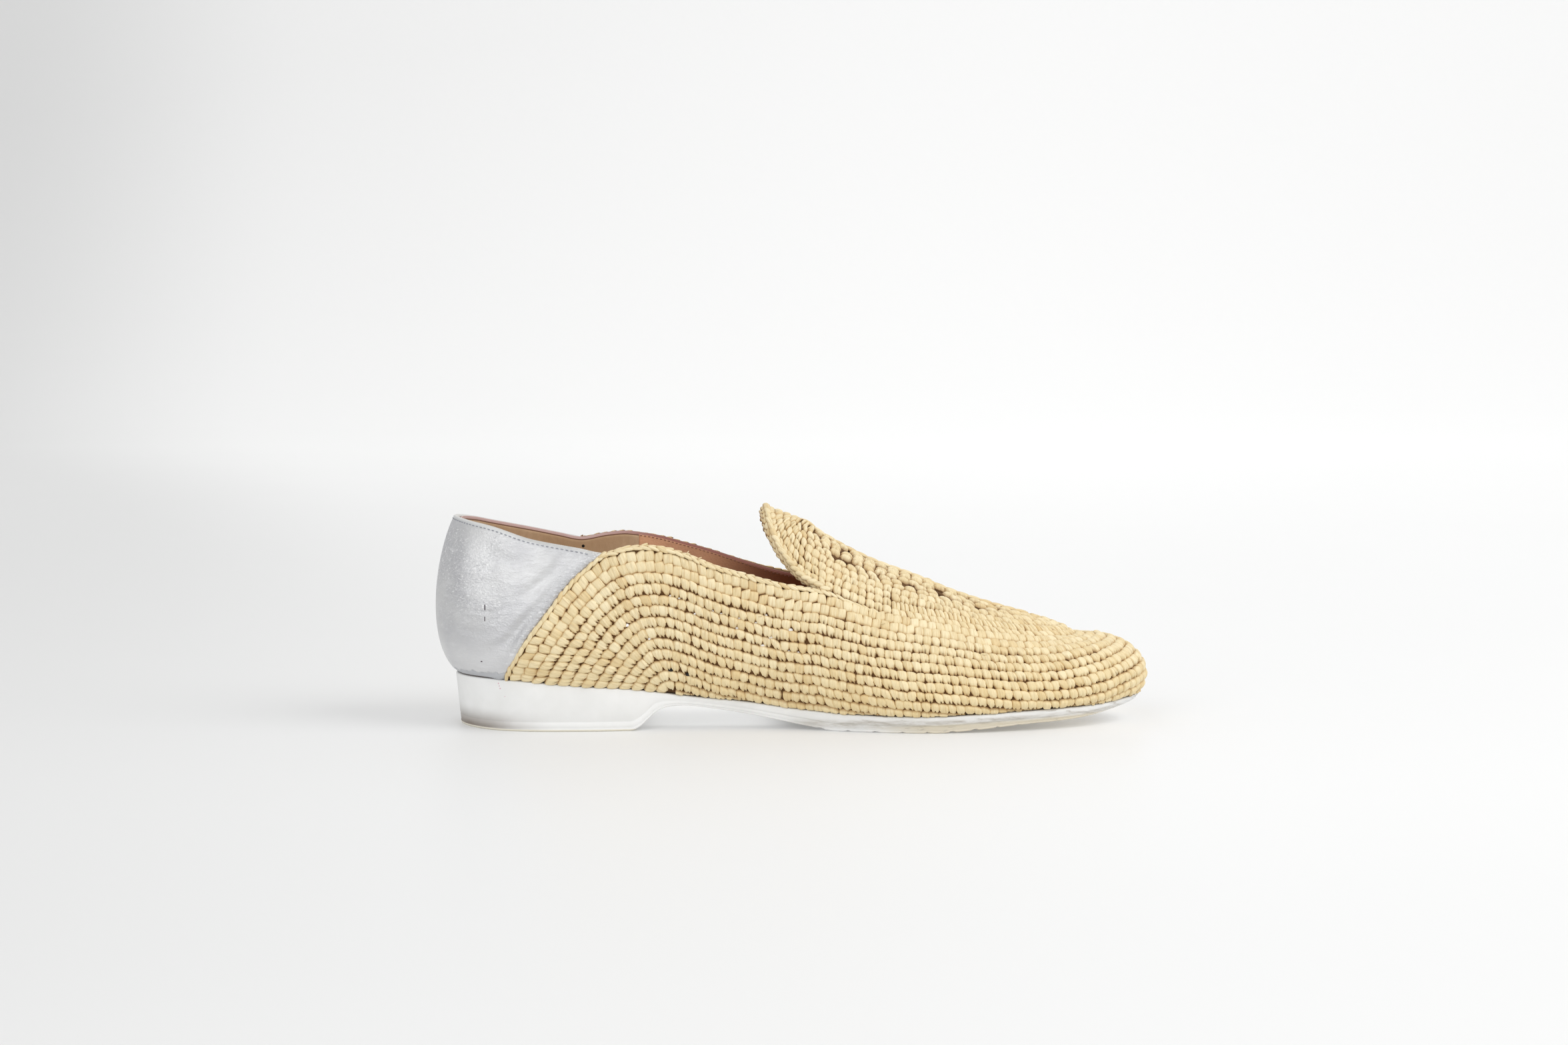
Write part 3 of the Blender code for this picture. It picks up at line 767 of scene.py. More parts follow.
def lay_row(mesh, rows, kind, stations, depth, width, height, keep=None, gape=None, inside=False):
    """A row of stitches of one kind along a line of the map, given as stations with their depths."""
    stations = stations.astype(float)
    line = rows.at(stations, depth)
    width = np.broadcast_to(width, len(stations))
    height = np.broadcast_to(height, len(stations))
    step = np.linalg.norm(np.diff(line, axis=0), axis=1) * 2 / (width[1:] + width[:-1])
    run = np.concatenate([[0], np.cumsum(step)])
    count = int(round(run[-1]))
    if count < 1:
        return
    run *= count / run[-1]
    middle = np.arange(count) + 0.5
    spot = rows.at(np.interp(middle, run, stations), np.interp(middle, run, depth))
    if keep is not None:
        kept = keep(spot)
        middle = middle[kept]
        spot = spot[kept]
        count = len(middle)
    opened = gape(spot)[:, None, None] if gape else 1.0
    size = np.interp(middle, run, width)[:, None, None]
    tall = np.interp(middle, run, height)[:, None, None]
    along, across, rise, crown, fibre = stitch_shapes(kind, size, tall, opened)
    place = middle[:, None, None] + along / size
    station = np.interp(place, run, stations)
    deep = np.interp(place, run, depth) + across
    between = middle + 0.5
    low = np.interp(between, run, depth) + OPEN_CORNER_DROP * tall.ravel()
    open_corners.append(rows.at(np.interp(between, run, stations), low, -OPEN_CORNER_SINK))
    foot = rows.length_at(station) - FOOT_CLEAR
    rise = np.where(deep > foot, np.minimum(rise, FOOT_RISE), rise)
    if inside:
        rise = -BACKING_SINK - BACKING_THICK - INSIDE_GAP - INSIDE_FLATNESS * rise
    points = rows.at(station, np.minimum(deep, foot), rise)
    tint = np.repeat(dice.normal(0, 1, count), STITCH_POINTS)
    fibre[..., 2] = dice.uniform(0, GRAIN_SLICES, count)[:, None, None]
    faces = repeated(grid_faces(STITCH_COLUMNS, STITCH_ROWS), count, STITCH_POINTS)
    mesh.add(points, faces, tint=tint, crown=crown, fibre=fibre)


# Strands

BEAD_RINGS = 9
BEAD_SIDES = 8
BEAD_POINTS = BEAD_RINGS * BEAD_SIDES
BEAD_FULLNESS = 2.4
BEAD_TIP = 0.0006
BEAD_SHADE = 0.6
CHAIN_PHASE = (0.2, 0.8)
CHAIN_LEAN_SPREAD = 5
CHAIN_SIZE_SPREAD = 0.07
CHAIN_OVERLAP = 1.75
CHAIN_FLATNESS = 0.85
CHAIN_ARCH = 0.12
THREAD_FLATNESS = 0.8
THREAD_ARCH = 0.05


def lay_beads(mesh, centre, along, out, length, thick, flat=1.0, arch=0.0):
    """Bean shaped strands, each along its own direction and arched away from the surface."""
    count = len(centre)
    along = unit(along)
    out = unit(out - np.sum(out * along, axis=-1, keepdims=True) * along)
    side = np.cross(along, out)
    t = np.linspace(-1, 1, BEAD_RINGS)[None, :, None]
    ring = np.linspace(0, 2 * math.pi, BEAD_SIDES, endpoint=False)
    body = np.clip(1 - np.abs(t) ** BEAD_FULLNESS, BEAD_TIP, 1) ** 0.5
    length = np.broadcast_to(np.asarray(length, float), count)[:, None, None]
    thick = np.broadcast_to(np.asarray(thick, float), count)[:, None, None]
    shift = 0.5 * length * t + 0 * ring
    high = 0.5 * thick * flat * body * np.cos(ring) + arch * thick * (1 - t**2)
    wide = 0.5 * thick * body * np.sin(ring)
    points = centre[:, None, None] + shift[..., None] * along[:, None, None]
    points = points + high[..., None] * out[:, None, None] + wide[..., None] * side[:, None, None]
    crown = np.broadcast_to(body * (BEAD_SHADE + (1 - BEAD_SHADE) * np.cos(ring)), shift.shape)
    fibre = np.stack(np.broadcast_arrays(wide, shift, 0 * shift), axis=-1).copy()
    fibre[..., 2] = dice.uniform(0, GRAIN_SLICES, count)[:, None, None]
    tint = np.repeat(dice.normal(0, 1, count), BEAD_POINTS)
    faces = repeated(grid_faces(BEAD_RINGS, BEAD_SIDES, ring=True), count, BEAD_POINTS)
    mesh.add(points, faces, tint=tint, crown=crown, fibre=fibre)


def even_walk(line, pitch, phase=0.5):
    """Indices, as fractions, of even steps along a line of points."""
    run = run_along(line)
    count = max(1, int(run[-1] / pitch))
    place = (np.arange(count) + phase) * run[-1] / count
    return np.interp(place, run, np.arange(len(line)))


def lay_chain(mesh, rows, stations, depth, rise, pitch, thick, lean):
    """One leg of a crocheted chain: slanted strands that overlap like the lay of a rope."""
    line = rows.at(stations, depth + 0 * stations, rise)
    step = even_walk(line, pitch, dice.uniform(*CHAIN_PHASE))
    station = np.interp(step, np.arange(len(stations)), stations)
    deep = depth + 0 * station
    along = unit(follow(step, np.gradient(line, axis=0)))
    out = rows.normal(station, deep)
    across = np.cross(out, along)
    tilt = np.radians(lean + dice.normal(0, CHAIN_LEAN_SPREAD, len(step)))[:, None]
    heading = along * np.cos(tilt) + across * np.sin(tilt)
    size = thick * (1 + dice.normal(0, CHAIN_SIZE_SPREAD, len(step)))
    centre = rows.at(station, deep, rise)
    lay_beads(mesh, centre, heading, out, pitch * CHAIN_OVERLAP, size, CHAIN_FLATNESS, CHAIN_ARCH)


def lay_dashes(mesh, line, out, pitch, length, thick):
    """Stitches of thread along a line, each sunk a little at its ends."""
    step = even_walk(line, pitch)
    along = follow(step, np.gradient(line, axis=0))
    out = follow(step, out)
    lay_beads(mesh, follow(step, line), along, out, length, thick, THREAD_FLATNESS, THREAD_ARCH)


# Rows of the sides and of the plug


def wander(stations):
    """A slight wave, so that no row runs quite true."""
    return ROW_WANDER * np.sin(stations / dice.uniform(*WANDER_LENGTH) + dice.uniform(*WANDER_PHASE))


def make_side_rows(finish):
    """Rows of the side band, in two pieces that meet at the toe."""
    station = np.arange(BAND_END + 1)
    toe = BAND_END // 2
    in_fan = np.minimum(station, BAND_END - station) < FAN_STATIONS
    edge_x = band.points[:, 0, 0]
    pitch = curve(ROW_PITCH["x"], ROW_PITCH["pitch"])(np.where(in_fan, FAN_X["medial"], edge_x))
    fan_end = np.where(station <= BAND_END / 2, FAN_STATIONS - 1, BAND_END - FAN_STATIONS + 1)
    scale = np.where(in_fan, band.length / band.length[fan_end], 1.0)
    width = curve(STITCH_WIDTH["x"], STITCH_WIDTH["width"])(edge_x)
    lead = CHAIN_DEPTH - (CHAIN_DEPTH - SEAM_DEPTH) * smooth(SEAM_START, SEAM_END, edge_x)
    room = np.where(in_fan, -FAN_CORE, FOOT_ROOM * pitch - FOOT_CLEAR)
    meshes = {side: Mesh() for side in SIDES}
    for row in range(int(band.length.max() / pitch.min()) + 1):
        depth = (lead + (row + 0.5) * pitch) * scale + wander(station)
        kind = "brick" if row < BRICK_ROWS else "puffy"
        for first, last in spans(depth < band.length + room):
            halves = {"medial": (first, min(last, toe)), "lateral": (max(first, toe), last)}
            for side, (start, end) in halves.items():
                if end - start > SHORTEST_ROW:
                    line = np.arange(start, end + 1)
                    size = (width[line], pitch[line] * scale[line])
                    lay_row(meshes[side], band, kind, line, depth[line], *size, gape=slipped)
    for side, mesh in meshes.items():
        make_piece(f"raffia_rows_{side}", mesh, finish)


def hole_places():
    """Plan points of the larger gaps by the plug's axis."""
    for side, sign in SIDES.items():
        rim = plug_rim(side)[: VAMP_STEPS + 1][::-1]
        for x in np.linspace(*MIDDLE_HOLES_X, MIDDLE_HOLES):
            half = np.interp(x, rim[:, 0], np.abs(rim[:, 1] - spine_y(rim[:, 0])))
            yield x + MIDDLE_HOLE_STAGGER * sign, float(spine_y(x) + sign * MIDDLE_HOLE_SHARE * half)


# Larger gaps of the openwork that show beside the spine, the same on both sides
WIDE_GAPS = table(
    "x aside",
    (4.5, 12.0),
    (9.9, 16.3),
    (17.5, 13.5),
    (42.3, 11.0),
    (52.9, 9.6),
    (66.0, 10.0),
)


def wide_gap_places():
    """Plan points of the larger gaps beside the spine."""
    for x, aside in zip(*WIDE_GAPS.values()):
        for sign in SIDES.values():
            yield x, float(spine_y(x) + sign * aside)


HOLES = np.array([*hole_places(), *wide_gap_places()])
HOLE_REACH = np.array([2.2, 1.3])
TAB_HOLES_END = 14.0
# How far stitches stay off a gap, as a share of its reach, on the tab and in front of it
HOLE_CLEAR = np.where(HOLES[:, 0] < TAB_HOLES_END, 0.9, 1.35)


def off_holes(points, clear=HOLE_CLEAR):
    """True where a point of the plug is clear of its larger gaps."""
    apart = (points[..., None, :2] - HOLES) / HOLE_REACH
    return (np.linalg.norm(apart, axis=-1) > clear).all(axis=-1)


# Shares of a row's height that it keeps from the axis
RING_ROOM = 0.3
INSIDE_ROOM = 0.4
LOOSE_ROOM = 0.2
# Stations that the tab's inner rows run past its corners
TAB_LAP = 4


def make_plug_rows(finish):
    """Rings of the vamp's plug and of the tab, then loose long stitches along the middle."""
    mesh = Mesh()
    front = int(np.flatnonzero(plug.points[:, 0, 0] < OPENWORK_X)[0])
    zones = (
        (PLUG_ROWS, np.arange(0, front + 1)),
        (TAB_ROWS, np.arange(front, PLUG_END - front + 1)),
        (PLUG_ROWS, np.arange(PLUG_END - front, PLUG_END + 1)),
    )
    for row_list, line in zones:
        for kind, middle, height, width in row_list:
            depth = middle + wander(line)
            for first, last in spans(depth + RING_ROOM * height < plug.length[line]):
                part = slice(first, last + 1)
                lay_row(mesh, plug, kind, line[part], depth[part], width, height, keep=off_holes)
    tab = np.arange(VAMP_STEPS - TAB_LAP, PLUG_END - VAMP_STEPS + TAB_LAP + 1)
    for kind, middle, height, width in TAB_ROWS:
        depth = np.minimum(middle, plug.length[tab] - INSIDE_ROOM * height)
        lay_row(mesh, plug, kind, tab, depth, width, height, inside=True)
    every = np.arange(PLUG_END + 1)
    for row in range(LOOSE_ROWS):
        wave = LOOSE_WANDER * np.sin(every / LOOSE_WANDER_LENGTH + dice.uniform(*WANDER_PHASE))
        depth = LOOSE_START + (row + 0.5) * LOOSE_HEIGHT + wave
        for first, last in spans(depth < plug.length + LOOSE_ROOM * LOOSE_HEIGHT):
            if last - first > SHORTEST_LOOSE_ROW:
                part = slice(first, last + 1)
                size = (LOOSE_WIDTH, LOOSE_HEIGHT)
                lay_row(mesh, plug, "loose", every[part], depth[part], *size, keep=off_holes)
    make_piece("raffia_plug_rows", mesh, finish)


# Pinholes, slipped stitches and loose ends

# Pinholes of the medial side, with pale specks laid in them, in side view
PINHOLES = table(
    "x z size",
    (-61.1, 38.2, 0.9),
    (-52.3, 32.7, 0.6),
    (-46.0, 50.8, 0.5),
    (-42.5, 49.6, 0.5),
    (-37.2, 44.1, 0.6),
    (-29.1, 44.8, 0.6),
    (-25.8, 44.0, 0.6),
    (-20.1, 39.0, 0.9),
    (-22.5, 36.0, 0.7),
    (-14.1, 40.8, 0.6),
    (-10.5, 40.1, 0.5),
    (-11.0, 32.4, 1.1),
    (-8.6, 35.1, 1.2),
    (-3.1, 38.4, 1.0),
    (-2.6, 30.2, 0.6),
    (0.5, 29.7, 0.6),
)
# Places where stitches have slipped apart
SLIPPED = table("x z", (-44.2, 22.3), (-40.2, 21.8))
# Loose ends of raffia with the angle at which they lift
LOOSE_ENDS = table(
    "x z lift",
    (-39.4, 63.8, 58.0),
    (-36.0, 62.0, 20.0),
    (-14.0, 41.5, 12.0),
    (30.0, 38.0, 10.0),
    (66.0, 27.0, 8.0),
)
# How much more a stitch gapes by a pinhole or a slip, and how much less in the fan
PINHOLE_GAPE = 0.12
SLIPPED_GAPE = 0.30
GAPE_REACH = 2.2
FAN_TIGHTNESS = 0.04
FAN_TIGHT_X = (-46.0, -54.0)
# Out of the medial side, for the pinholes and for the loose ends
PINHOLE_OUT = np.array([[0.0, -1.0, 0.2]])
LOOSE_END_OUT = np.array([[0.0, -1.0, 0.3]])
FORWARD = np.array([[1.0, 0.0, 0.0]])
PINHOLE_TURN = 0.4
PINHOLE_LENGTH = 1.7
PINHOLE_THICK = 1.3
PINHOLE_FLATNESS = 0.2
# Length, thickness, flatness and arch of the beads in the slipped places and of the loose ends
SLIP_BEAD = (1.9, 1.2, 0.4)
LOOSE_END_BEAD = (1.9, 0.42, 0.6, 0.6)
SLIP_RISE = 0.5
LOOSE_END_RISE = 0.8
LOOSE_END_SHIFT = 0.5
LOOSE_END_OUTWARD = -0.25
# Added to the distance of corners on the lateral side, so that they are never the nearest
LATERAL_PENALTY = 1e3


def medial_place(x, z):
    """Station and depth of the medial band at a point of the side view."""
    half = band.points[: BAND_END // 2]
    apart = np.hypot(half[..., 0] - x, half[..., 2] - z)
    station, level = np.unravel_index(np.argmin(apart), apart.shape)
    return np.array([float(station)]), np.array([level / (RIB_SAMPLES - 1) * band.length[station]])


def slipped(points):
    """How far each stitch gapes: more on the medial side where raffia has slipped or a pinhole shows."""
    gape = 1 - FAN_TIGHTNESS * smooth(*FAN_TIGHT_X, points[:, 0])
    for places, wider in ((PINHOLES, PINHOLE_GAPE), (SLIPPED, SLIPPED_GAPE)):
        apart = np.hypot(points[:, None, 0] - places["x"], points[:, None, 2] - places["z"])
        gape += wider * ((apart < GAPE_REACH) & (points[:, None, 1] < 0)).any(axis=1)
    return gape


def nearest_corner(x, z):
    """The open corner between two medial stitches that lies nearest to a point of the side view."""
    spots = np.concatenate(open_corners)
    apart = np.hypot(spots[:, 0] - x, spots[:, 2] - z) + LATERAL_PENALTY * (spots[:, 1] > 0)
    return spots[np.argmin(apart)][None]


def make_pinholes(speck_finish, shadow, finish):
    """Pale specks in the pinholes, the two dark gaps and the loose ends of raffia."""
    holes, gaps, ends = Mesh(), Mesh(), Mesh()
    for x, z, size in zip(*PINHOLES.values()):
        heading = np.array([[1.0, 0.0, dice.normal(0, PINHOLE_TURN)]])
        bead = (PINHOLE_LENGTH * size, PINHOLE_THICK * size, PINHOLE_FLATNESS)
        lay_beads(holes, nearest_corner(x, z), heading, PINHOLE_OUT, *bead)
    for x, z in zip(*SLIPPED.values()):
        lay_beads(gaps, nearest_corner(x, z) + SLIP_RISE * PINHOLE_OUT, FORWARD, PINHOLE_OUT, *SLIP_BEAD)
    for x, z, lift in zip(*LOOSE_ENDS.values()):
        lift = math.radians(lift)
        heading = np.array([[math.cos(lift), LOOSE_END_OUTWARD, math.sin(lift)]])
        centre = band.at(*medial_place(x, z), LOOSE_END_RISE) + LOOSE_END_SHIFT * heading
        lay_beads(ends, centre, heading, LOOSE_END_OUT, *LOOSE_END_BEAD)
    make_piece("raffia_pinholes", holes, speck_finish)
    make_piece("raffia_gaps", gaps, shadow)
    make_piece("raffia_loose_ends", ends, finish)


# Edge chains

# Depth, rise, pitch, thickness and lean of each chain
REAR_CHAIN = (0.9, 0.1, 2.9, 1.6, 9)
COLLAR_CHAIN = (1.0, 0.3, 3.0, 1.4, -11)
SEAM_CHAIN = (0.5, -0.1, 3.0, 1.15, -11)
INNER_CHAIN = {"medial": (0.35, -0.7, 3.0, 1.4, 11), "lateral": (0.9, -0.7, 3.0, 1.4, 11)}
TAB_STRANDS = (
    (0.55, 0.45, 2.7, 2.3, 15),
    (-0.15, -0.9, 2.7, 2.0, -20),
    (-0.1, -2.2, 2.7, 1.9, 20),
    (0.8, -3.3, 2.7, 1.9, -18),
)
# Stations that one chain runs on past the start of the next
CHAIN_LAP = 2
SPINE_STEPS = 60
SPINE_RISE = 0.2
SPINE_PITCH = 4.4
SPINE_SWAY = 0.25
# Length, thickness, flatness and arch
SPINE_BEAD = (7.2, 2.3, 0.8, 0.1)


def band_line(side, first, last):
    """Stations of the band, counted from the rear edge of one side."""
    line = np.arange(first, last + 1, dtype=float)
    return line if side == "medial" else (BAND_END - line)[::-1]


def make_chains(finish):
    """Edge chains of the collar, rear edge, plug seam and tab, and long stitches along the spine."""
    mesh = Mesh()
    rear_end = REAR_FOOT_STEPS + REAR_STEPS
    collar_end = FAN_STATIONS + COLLAR_STEPS
    seam_end = collar_end + int(np.argmax(band.points[collar_end:, 0, 0] > SEAM_END))
    for side in SIDES:
        collar = band_line(side, rear_end - CHAIN_LAP, collar_end)
        lay_chain(mesh, band, band_line(side, 0, rear_end), *REAR_CHAIN)
        lay_chain(mesh, band, collar, *COLLAR_CHAIN)
        lay_chain(mesh, band, band_line(side, collar_end - CHAIN_LAP, seam_end), *SEAM_CHAIN)
        lay_chain(mesh, band, collar, *INNER_CHAIN[side])
    tab = np.arange(VAMP_STEPS - 1, PLUG_END - VAMP_STEPS + 2, dtype=float)
    for strand in TAB_STRANDS:
        lay_chain(mesh, plug, tab, *strand)
    spine = np.linspace(AXIS_REAR, AXIS_FRONT, SPINE_STEPS)
    ridge = np.stack([spine, spine_y(spine), plug_height(spine, spine_y(spine)) + SPINE_RISE], axis=-1)
    step = even_walk(ridge, SPINE_PITCH)
    slope = np.interp(step, np.arange(SPINE_STEPS), np.gradient(ridge[:, 2], ridge[:, 0]))
    heading = np.stack([0 * step + 1, dice.normal(0, SPINE_SWAY, len(step)), slope], axis=-1)
    lay_beads(mesh, follow(step, ridge), heading, UP + 0 * heading, *SPINE_BEAD)
    make_piece("raffia_chains", mesh, finish)


# Backing


def backing_faces(rows, stations, length, count):
    """Outer and inner face of the backing at even depths below each station."""
    station = np.repeat(stations[:, None], count, axis=1)
    depth = np.linspace(0, 1, count)[None] * length[:, None]
    return [rows.at(station, depth, rise) for rise in (-BACKING_SINK, -BACKING_SINK - BACKING_THICK)]


def make_backing(finish):
    """The inside of the crochet: a sheet under the stitches, dark with painted shade, open at the gaps
    of the plug.
    """
    mesh = Mesh()
    length = band.length - BACKING_FOOT_CLEAR
    thick_sheet(mesh, *backing_faces(band, np.arange(BAND_END + 1.0), length, BAND_BACKING_ROWS))
    stations = np.linspace(0, PLUG_END, 2 * PLUG_END + 1)
    outer, inner = backing_faces(plug, stations, plug.length_at(stations), PLUG_BACKING_ROWS)
    thick_sheet(mesh, outer, inner, off_holes((outer[:-1, :-1] + outer[1:, 1:]) / 2, 1.0))
    make_piece("raffia_backing", mesh, finish, ["upper"])


# Foil leather back

FOIL_WALL = 1.8
FOIL_COLUMNS = 210
FOIL_ROWS = 90
FOIL_TUCK = -1.6
FOIL_RIM = 1.2
CREASE_DEPTH = 1.6
CREASE_BOW = 0.012
# Creases in side view: x, z, heading in degrees, half length, half width, rise (a trough is below zero)
FOIL_CREASES = {
    "medial": (
        (-113.0, 43.1, 3, 7.0, 0.5, -0.22),
        (-112.0, 41.9, -2, 5.0, 0.5, 0.12),
        (-117.5, 52.0, 12, 7.0, 1.6, -0.35),
        (-118.0, 57.5, -8, 6.0, 1.4, 0.30),
        (-120.0, 47.5, 5, 5.0, 1.1, -0.28),
        (-119.0, 36.0, -6, 6.0, 1.3, -0.30),
        (-99.5, 38.0, 52, 12.0, 2.2, -0.55),
        (-95.0, 46.0, 50, 10.0, 1.8, 0.40),
        (-101.0, 28.0, 62, 8.0, 1.8, 0.45),
        (-90.5, 55.0, 42, 9.0, 2.0, -0.40),
        (-104.0, 62.0, -18, 8.0, 2.0, -0.22),
        (-108.0, 33.5, 25, 7.0, 1.6, 0.22),
    ),
    "lateral": (
        (-116.0, 46.0, -4, 7.0, 0.7, -0.25),
        (-118.0, 55.0, 10, 7.0, 1.5, -0.32),
        (-119.5, 38.0, 6, 6.0, 1.3, 0.28),
        (-106.0, 36.0, 54, 11.0, 2.1, -0.50),
        (-102.0, 46.0, 52, 10.0, 1.8, 0.40),
        (-98.0, 57.0, 44, 9.0, 1.9, -0.38),
        (-110.0, 27.0, 60, 7.0, 1.7, 0.40),
        (-108.0, 63.0, -16, 8.0, 1.9, -0.20),
    ),
}
# Sideways stretch of the heel over which the creases of one side fade
CREASE_FADE = (-2.0, 6.0)
# Swell beside the raffia edge with its puckers, and the turn down at the edge itself
SWELL_PLACE = 3.4
SWELL_REACH = 2.2
SWELL_RISE = 0.45
PUCKER_RISE = 0.16
PUCKER_RATE = 2.1
PUCKER_DRIFT = 3
PUCKER_DRIFT_RATE = 0.63
FINE_PUCKER = 0.6
FINE_PUCKER_RATE = 4.7
FINE_PUCKER_START = 1.0
EDGE_REACH = 1.3
EDGE_DROP = 1.1
BESIDE_REACH = 6.5
# Raised rim, the groove of its stitch line, its rounded top and the foot's turn inwards
RIM_RISE = 0.12
RIM_STEP = (FOIL_RIM + 0.25, FOIL_RIM - 0.15)
RIM_BAND = (FOIL_RIM + 0.2, FOIL_RIM)
GROOVE_BELOW_RIM = 0.35
GROOVE_REACH = 0.35
GROOVE_DEPTH = 0.30
TOP_REACH = 0.35
TOP_DROP = 0.5
FOOT_REACH = 2.0
FOOT_DROP = 0.25
RAW_EDGE = (0.35, 0.15)
# Stitch line: how far below the rim, how far proud, then pitch, length and thickness of a stitch
FOIL_STITCH_BELOW_RIM = 0.30
FOIL_STITCH_PROUD = 0.05
FOIL_STITCH = (1.75, 1.15, 0.40)
# Columns left free at each end of the line, and the row whose normals it takes
FOIL_STITCH_ENDS = 6
FOIL_STITCH_ROW = -3


def crease_relief(points):
    """Rise of the foil over its listed creases."""
    total = np.zeros(points.shape[:-1])
    for side, sign in SIDES.items():
        on_side = smooth(*CREASE_FADE, sign * points[..., 1])
        for x, z, heading, reach, width, rise in FOIL_CREASES[side]:
            c = math.cos(math.radians(heading))
            s = math.sin(math.radians(heading))
            along = (points[..., 0] - x) * c + (points[..., 2] - z) * s
            across = (points[..., 2] - z) * c - (points[..., 0] - x) * s
            bow = across - CREASE_BOW * along**2
            total += CREASE_DEPTH * on_side * rise * np.exp(-((along / reach) ** 2) - (bow / width) ** 2)
    return total


def foil_grid():
    """Outer face of the back panel from the medial raffia edge round the heel to the lateral one."""
    rows = np.linspace(0, 1, FOIL_ROWS + 1)
    halves = {}
    for side in SIDES:
        edge = rear_edge(side, rows, FOIL_TUCK)
        edge[0, 1] = BELOW_FOOT
        edge[-1, 1] += PAST_TOP
        turn, share = seen_at(side, edge[:, 0], edge[:, 1])
        back = np.linspace(0, 1, FOIL_COLUMNS // 2 + 1)[:, None]
        ease = back**2 * (3 - 2 * back)
        halves[side] = wall(side, turn * (1 - back), share + (rows - share) * ease)
    return np.concatenate([halves["medial"], halves["lateral"][::-1][1:]])


def make_foil(finish, thread):
    """The foil leather back with its creases, raised rim and stitch line."""
    face = foil_grid()
    normal = unit(np.cross(np.gradient(face, axis=0), np.gradient(face, axis=1)))
    if normal[FOIL_COLUMNS // 2, FOIL_ROWS // 2, 0] > 0:
        normal = -normal
    run = run_along(face)
    from_edge = np.minimum(run, run[-1] - run)
    up = run_along(face, axis=1)
    from_top = up[:, -1:] - up
    pucker = np.sin(up * PUCKER_RATE + PUCKER_DRIFT * np.sin(up * PUCKER_DRIFT_RATE))
    pucker += FINE_PUCKER * np.sin(up * FINE_PUCKER_RATE + FINE_PUCKER_START)
    swell = bell(from_edge, SWELL_PLACE, SWELL_REACH)
    rise = crease_relief(face)
    rise += swell * (SWELL_RISE + PUCKER_RISE * pucker) - EDGE_DROP * bell(from_edge, 0, EDGE_REACH)
    rise += RIM_RISE * smooth(*RIM_STEP, from_top)
    rise -= GROOVE_DEPTH * bell(from_top - FOIL_RIM, GROOVE_BELOW_RIM, GROOVE_REACH)
    rise -= TOP_DROP * bell(from_top, 0, TOP_REACH)
    rise -= FOOT_DROP * smooth(FOOT_REACH, 0.0, up)
    outer = face + rise[..., None] * normal
    mesh = Mesh()
    thick_sheet(
        mesh,
        outer,
        face - FOIL_WALL * normal,
        rim=smooth(*RIM_BAND, from_top),
        raw=smooth(*RAW_EDGE, from_top),
        beside=bell(from_edge, 0, BESIDE_REACH),
    )
    make_piece("foil_back", mesh, finish, ["heel_panel"])

    deep = FOIL_RIM + FOIL_STITCH_BELOW_RIM
    line = np.array([
        [np.interp(deep, from_top[i, ::-1], outer[i, ::-1, axis]) for axis in range(3)]
        for i in range(len(face))
    ])
    out = normal[:, FOIL_STITCH_ROW]
    line = line + FOIL_STITCH_PROUD * out
    part = slice(FOIL_STITCH_ENDS, -FOIL_STITCH_ENDS)
    seam = Mesh()
    lay_dashes(seam, line[part], out[part], *FOIL_STITCH)
    make_piece("foil_stitching", seam, thread)


# Lining

LINING_FRONT_X = 46.0
LINING_STATIONS = 150
LINING_ROWS = 40
LINING_EASE = 1.6
LINING_ROLL = 0.5
LINING_FOOT_CLEAR = 0.2
ROLL_OUT = 0.3
ROLL_IN = 0.4
# Offset from the wall, thickness and how far the rim lies lower
LINING_LAYER = (2.35, 0.9, 0.0)
GRIP_LAYER = (3.1, 0.7, 0.85)
GRIP_FRONT_X = -55.5
# Depth of the lining's rim below the collar, and the share of the way round where it changes
LATERAL_RIM = -0.45
MEDIAL_RIM = 0.35
RIM_CHANGE = (0.45, 0.55)
# Stitch line: depth below the rim, how far proud, then pitch, length and thickness of a stitch
LINING_STITCH_DEPTH = 1.15
LINING_STITCH_PROUD = 0.02
LINING_STITCH = (1.5, 1.05, 0.34)
LINING_STITCH_LAP = 2


def lining_faces(back, rim, offset, thick, lower):
    """Two faces of a layer, rounded over at the rim, and how deep each point lies below the rim line."""
    station = np.repeat(np.arange(len(rim), dtype=float)[:, None], LINING_ROWS, axis=1)
    top = (rim + lower)[:, None]
    room = back.length[:, None] - top - LINING_FOOT_CLEAR
    depth = top + np.linspace(0, 1, LINING_ROWS) ** LINING_EASE * room
    roll = bell(depth, top, LINING_ROLL)
    near = back.at(station, depth, -offset - ROLL_OUT * thick * roll)
    far = back.at(station, depth, -offset - thick + ROLL_IN * thick * roll)
    return near, far, depth - rim[:, None]


